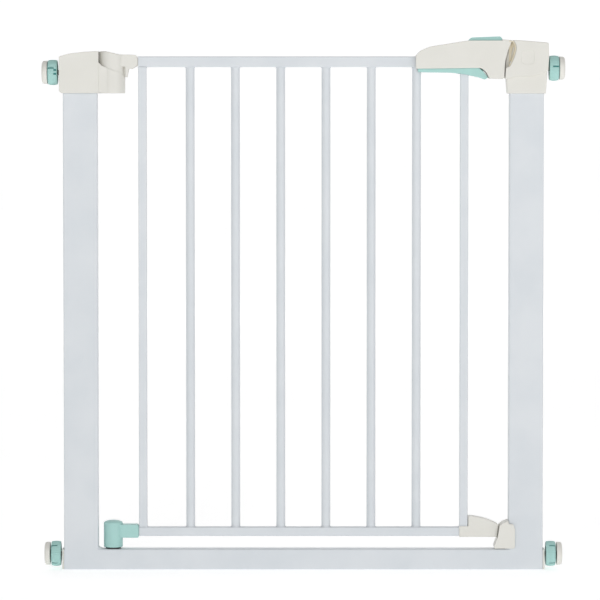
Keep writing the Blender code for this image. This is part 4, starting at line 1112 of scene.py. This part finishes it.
# %% Catch
node_low, node_high = corners_of("lower_catch")
foot = (node_low.z - TOP) / MM
nose_low = foot + 16.1
corners = ((9.3, foot, 3.0), (-21.0, foot, 0.8), (-20.6, nose_low - 12.0, 2.0),
           (-15.8, nose_low, 3.0), (-13.2, nose_low + 17.0, 2.0), (-9.0, nose_low + 20.9, 4.0),
           (-0.4, nose_low + 24.4, 0.5), (0.3, nose_low + 19.9, 0.6),
           (7.2, nose_low + 19.5, 3.0), (9.3, nose_low + 12.0, 6.0))
catch = prism("post_catch", at(LATCH_X, TOP, rounded(corners, 6)), node_low.y, node_high.y)
soften(catch, 1.4 * MM, 4, 50)
cheek = FRAME_HALF + FIT
deep = TOP + (foot - 10.0) * MM
tall = TOP + (nose_low + 60.0) * MM
socket = block("socket", (LATCH_X - FIT, -cheek, deep), (LATCH_X + 20.0 * MM, cheek, tall))
recess = block("recess", (LATCH_X - 40.0 * MM, -cheek, TOP + (nose_low - 1.5) * MM),
               (LATCH_X - 12.0 * MM, FOOT_RAIL_HIGH.y + 2.8 * MM, tall))
screw_low, screw_high = corners_of("catch_screw")
axis = (screw_low.z + screw_high.z) / 2
seat = drum("seat", (LATCH_X - 16.8 * MM, 0.0, axis), "X", 26.0 * MM, 3.6 * MM, 32)
pilot = drum("pilot", (LATCH_X, 0.0, axis), "X", 20.0 * MM, 1.8 * MM, 24)
cut(catch, socket, recess, seat, pilot)
dress(catch, "frame", CREAM, "lower_catch")

# %% [markdown]
# ## The hand wheels
# A hand wheel is gripped by its rim, so the rim has fine flutes and four deeper slots. The wheel
# is spun, the flutes are a small ripple in the rim's radius, and the slots are cut with blocks.
# The floor of a slot lies in shade, so those faces get a much darker mint: painted shade.

# %% Hand wheel
WHEEL_NODES = {"upper_left": 19.5, "upper_right": -7.4, "lower_left": 45.0, "lower_right": 45.0}
FLUTES = 44
FLUTE_DEPTH = 0.24 * MM
SLOT_DEPTH, SLOT_HALF = 1.9 * MM, 1.1 * MM
NOTCH_DEPTH, NOTCH_HALF = 1.7 * MM, 1.5 * MM
CROWN = 0.7 * MM
NOTCHES = {"upper_left": (9.0, 27.0)}


def wall_side(name):
    """Plus one for a bolt on the right, minus one on the left."""
    return -1 if "left" in name else 1


def make_wheel(name, turned_by):
    """One hand wheel over its node."""
    low, high = corners_of(name + "_wheel")
    width, radius = high.x - low.x, (high.z - low.z) / 2
    edge = 1.5 * MM
    shoulder = radius - CROWN
    lip = [(shoulder - edge + edge * sin(a), edge - edge * cos(a)) for a in
           [radians(18 * step) for step in range(6)]]
    lip += [(radius - 0.2 * MM, width * 0.3)]
    other = [(r, width - h) for r, h in reversed(lip)]
    profile = [(4.4 * MM, 0.9 * MM), (11.0 * MM, 0.9 * MM), (12.0 * MM, 0.0)] + lip
    profile += [(radius, width / 2)] + other + [(12.0 * MM, width), (11.0 * MM, width - 0.9 * MM),
                                                (4.4 * MM, width - 0.9 * MM)]
    wheel = lathe("hand_wheel_" + name, profile, 4 * FLUTES)
    for vert in wheel.data.vertices:
        across = (vert.co.x ** 2 + vert.co.y ** 2) ** 0.5
        if across > shoulder - edge / 2:
            shrink = FLUTE_DEPTH * (1.0 - cos(FLUTES * atan2(vert.co.y, vert.co.x)))
            vert.co.x *= 1.0 - shrink / across
            vert.co.y *= 1.0 - shrink / across
    side = wall_side(name)
    for quarter in range(4):
        angle = radians(90 * quarter + turned_by)
        slot = block("slot", (radius - SLOT_DEPTH, -SLOT_HALF, width * 0.34),
                     (radius + 2.0 * MM, SLOT_HALF, width * 0.94))
        cut(wheel, moved(slot, Matrix.Rotation(angle, 4, "Z")))
        for offset in NOTCHES.get(name, ()):
            notch = block("notch", (radius - NOTCH_DEPTH, -NOTCH_HALF, width * 0.07),
                          (radius + 2.0 * MM, NOTCH_HALF, width * 0.36))
            cut(wheel, moved(notch, Matrix.Rotation(angle + side * radians(offset), 4, "Z")))
    wheel.data.materials.append(MINT)
    wheel.data.materials.append(SLOT_SHADE_MINT)
    # Faces on a slot's floor get the darker mint, painted shade where the slot is in shadow.
    for face in wheel.data.polygons:
        middle = face.center
        across = (middle.x ** 2 + middle.y ** 2) ** 0.5
        painted_slot_shade = width * 0.06 < middle.z < width * 0.95 and radius - 2.5 * MM < across
        face.material_index = int(painted_slot_shade and across < shoulder - 0.45 * MM)
    start = low.x if side > 0 else high.x
    place = Matrix.Translation((start, (low.y + high.y) / 2, (low.z + high.z) / 2))
    moved(wheel, place @ Matrix.Rotation(side * pi / 2, 4, "Y"))
    return dress(wheel, name + "_wheel", MINT, name + "_wheel", smooth=30)


for name, turned_by in WHEEL_NODES.items():
    make_wheel(name, turned_by)

# %% [markdown]
# ## Cups, pads and threaded spindles
# The spindle ends in a cream cup whose rim is rolled over, with a rubber pad in its face that
# grips the wall. A thread is one small zigzag that climbs as it spins: the Screw modifier repeats
# it for every turn.

# %% Cup and pad
CUP_GAP = 0.35 * MM


def place_on_wall(piece, name, start):
    """Turns a piece that was made along Z so that it points at its wall."""
    side = wall_side(name)
    height = JOINTS[name + "_turn"]["pos_m"][2]
    return moved(piece, Matrix.Translation((start, 0.0, height))
                 @ Matrix.Rotation(side * pi / 2, 4, "Y"))


def make_cup(name):
    """The wall cup and the pad in its face."""
    side = wall_side(name)
    low, high = corners_of(name + "_cup")
    pad_low, pad_high = corners_of(name + "_pad")
    wall = pad_high.x if side > 0 else pad_low.x
    start = (low.x if side > 0 else high.x) + side * CUP_GAP
    depth = abs(wall - start)
    radius = (high.z - low.z) / 2
    roll = 3.8 * MM
    rim = [(radius - roll + roll * cos(a), depth - 0.2 * MM - roll + roll * sin(a))
           for a in [radians(12 * step) for step in range(8)]]
    profile = [(0.0, 2.8 * MM), (4.3 * MM, 2.8 * MM), (4.3 * MM, 0.0), (radius - 1.0 * MM, 0.0),
               (radius - 0.2 * MM, 0.3 * MM), (radius, 1.0 * MM)] + rim
    profile += [(radius - 5.2 * MM, depth - 0.6 * MM), (radius - 5.4 * MM, depth - 1.6 * MM),
                (0.0, depth - 1.6 * MM)]
    cup = place_on_wall(lathe("wall_cup_" + name, profile), name, start)
    dress(cup, name + "_spindle", CREAM, name + "_cup")
    disc = ((0.0, depth - 1.4 * MM), (radius - 5.7 * MM, depth - 1.4 * MM),
            (radius - 5.7 * MM, depth - 0.4 * MM), (radius - 6.1 * MM, depth), (5.0 * MM, depth),
            (4.6 * MM, depth - 0.5 * MM), (0.0, depth - 0.5 * MM))
    pad = place_on_wall(lathe("wall_pad_" + name, disc), name, start)
    dress(pad, name + "_spindle", RUBBER, name + "_pad")


for name in WHEEL_NODES:
    make_cup(name)

# %% Threaded spindle
PITCH = 2.0 * MM
CREST, ROOT = 4.0 * MM, 3.3 * MM


def make_spindle(name):
    """A threaded rod over its node."""
    side = wall_side(name)
    low, high = corners_of(name + "_spindle")
    turns = int((high.x - low.x) / PITCH)
    deselect()
    bpy.ops.mesh.primitive_circle_add(vertices=4)
    thread = bpy.context.object
    thread.name = "threaded_" + name
    steps = ((ROOT, 0.0), (CREST, 0.8 * MM), (CREST, 1.2 * MM), (ROOT, PITCH))
    for vert, (radius, height) in zip(thread.data.vertices, steps):
        vert.co = (radius, 0.0, height)
    edit_parts(thread, "EDGE", lambda edge: abs(edge.verts[0].co.z - edge.verts[1].co.z) > 1.5 * MM)
    bpy.ops.mesh.delete(type="EDGE")
    leave_edit()
    spin = thread.modifiers.new("Thread", "SCREW")
    spin.screw_offset = PITCH
    spin.iterations = turns - 1
    spin.steps = 20
    spin.render_steps = 20
    spin.use_merge_vertices = True
    spin.merge_threshold = 0.001 * MM
    apply_modifiers(thread)
    edit_all(thread)
    bpy.ops.mesh.remove_doubles(threshold=0.002 * MM)
    bpy.ops.mesh.select_mode(type="EDGE")
    bpy.ops.mesh.select_all(action="DESELECT")
    bpy.ops.mesh.select_non_manifold()
    bpy.ops.mesh.fill_holes(sides=0)
    leave_edit()
    point_out(thread)
    start = low.x if side > 0 else high.x
    place_on_wall(thread, name, start)
    return dress(thread, name + "_spindle", ZINC, name + "_spindle", smooth=25)


for name in WHEEL_NODES:
    make_spindle(name)

# %% [markdown]
# ## The studio
# A white sweep, soft light from every side and a long lens: the usual set for a catalogue view.
# The floor runs up into the wall on a wide curve, so no horizon shows from the front. The wall
# stands far enough back for a camera to go behind the gate.

# %% Floor and backdrop
PAPER_GLOW = 0.42
PAPER_SIZE = 24.0
WALL_HEIGHT = 10.0
WALL_CURVE = 1.5
deselect()
bpy.ops.mesh.primitive_plane_add(size=PAPER_SIZE, location=(0.0, -3.0, 0.0))
sweep = bpy.context.object
sweep.name = "studio_sweep"
bpy.ops.object.transform_apply(location=True)
edit_parts(sweep, "EDGE", lambda edge: all(vert.co.y > 3.9 for vert in edge.verts))
bpy.ops.mesh.extrude_region_move(TRANSFORM_OT_translate={"value": (0.0, 0.0, WALL_HEIGHT)})
leave_edit()
edit_parts(sweep, "EDGE",
           lambda edge: all(vert.co.y > 3.9 and vert.co.z < 0.1 for vert in edge.verts))
bpy.ops.mesh.bevel(offset=WALL_CURVE, segments=24, affect="EDGES")
leave_edit()
pick(sweep)
bpy.ops.object.shade_smooth()
material, shader, place = start_material("studio_paper", 0.9)
shader.inputs["Specular IOR Level"].default_value = 0.1
shader.inputs["Emission Color"].default_value = (1.0, 1.0, 1.0, 1.0)
shader.inputs["Emission Strength"].default_value = PAPER_GLOW
tint(material, shader, speckle(material, place, 400.0), (0.93, 0.93, 0.93), (0.95, 0.95, 0.95))
sweep.data.materials.append(material)

# %% Lights


def soft_box(name, place, aim, size, power):
    """A square area light that points at the gate."""
    deselect()
    bpy.ops.object.light_add(type="AREA", location=place)
    lamp = bpy.context.object
    lamp.name = name
    lamp.data.size = size
    lamp.data.energy = power
    lamp.rotation_euler = (Vector(aim) - Vector(place)).to_track_quat("-Z", "Y").to_euler()


CENTRE = Vector((0.0, 0.0, TOP / 2))
AIR_LIGHT = 0.45
soft_box("key_light", (-0.9, -3.6, 1.5), CENTRE, 1.0, 22.0)
soft_box("fill_light", (1.9, -3.0, 0.9), CENTRE, 2.0, 23.0)
soft_box("back_light", (0.5, 2.2, 2.6), CENTRE, 2.0, 4.0)
world = bpy.data.worlds.new("studio_air")
world.use_nodes = True
world.node_tree.nodes["Background"].inputs["Color"].default_value = (1.0, 1.0, 1.0, 1.0)
world.node_tree.nodes["Background"].inputs["Strength"].default_value = AIR_LIGHT
bpy.context.scene.world = world
bpy.context.scene.view_settings.view_transform = "Standard"

# %% [markdown]
# ## The camera
# The view is straight on, from about five metres, with the eye a little below the top rail. The
# lens is worked out from the width that the view has to hold.

# %% Camera
VIEW_WIDTH = 0.877
EYE = Vector((-0.0049, -5.0, 0.62))
AIM = Vector((-0.0049, 0.0, 0.3944))
deselect()
bpy.ops.object.camera_add(location=EYE)
camera = bpy.context.object
camera.name = "catalogue_camera"
camera.rotation_euler = (AIM - EYE).to_track_quat("-Z", "Y").to_euler()
camera.data.lens = camera.data.sensor_width * (AIM - EYE).length / VIEW_WIDTH
bpy.context.scene.camera = camera
print("lens %.0f mm" % camera.data.lens)
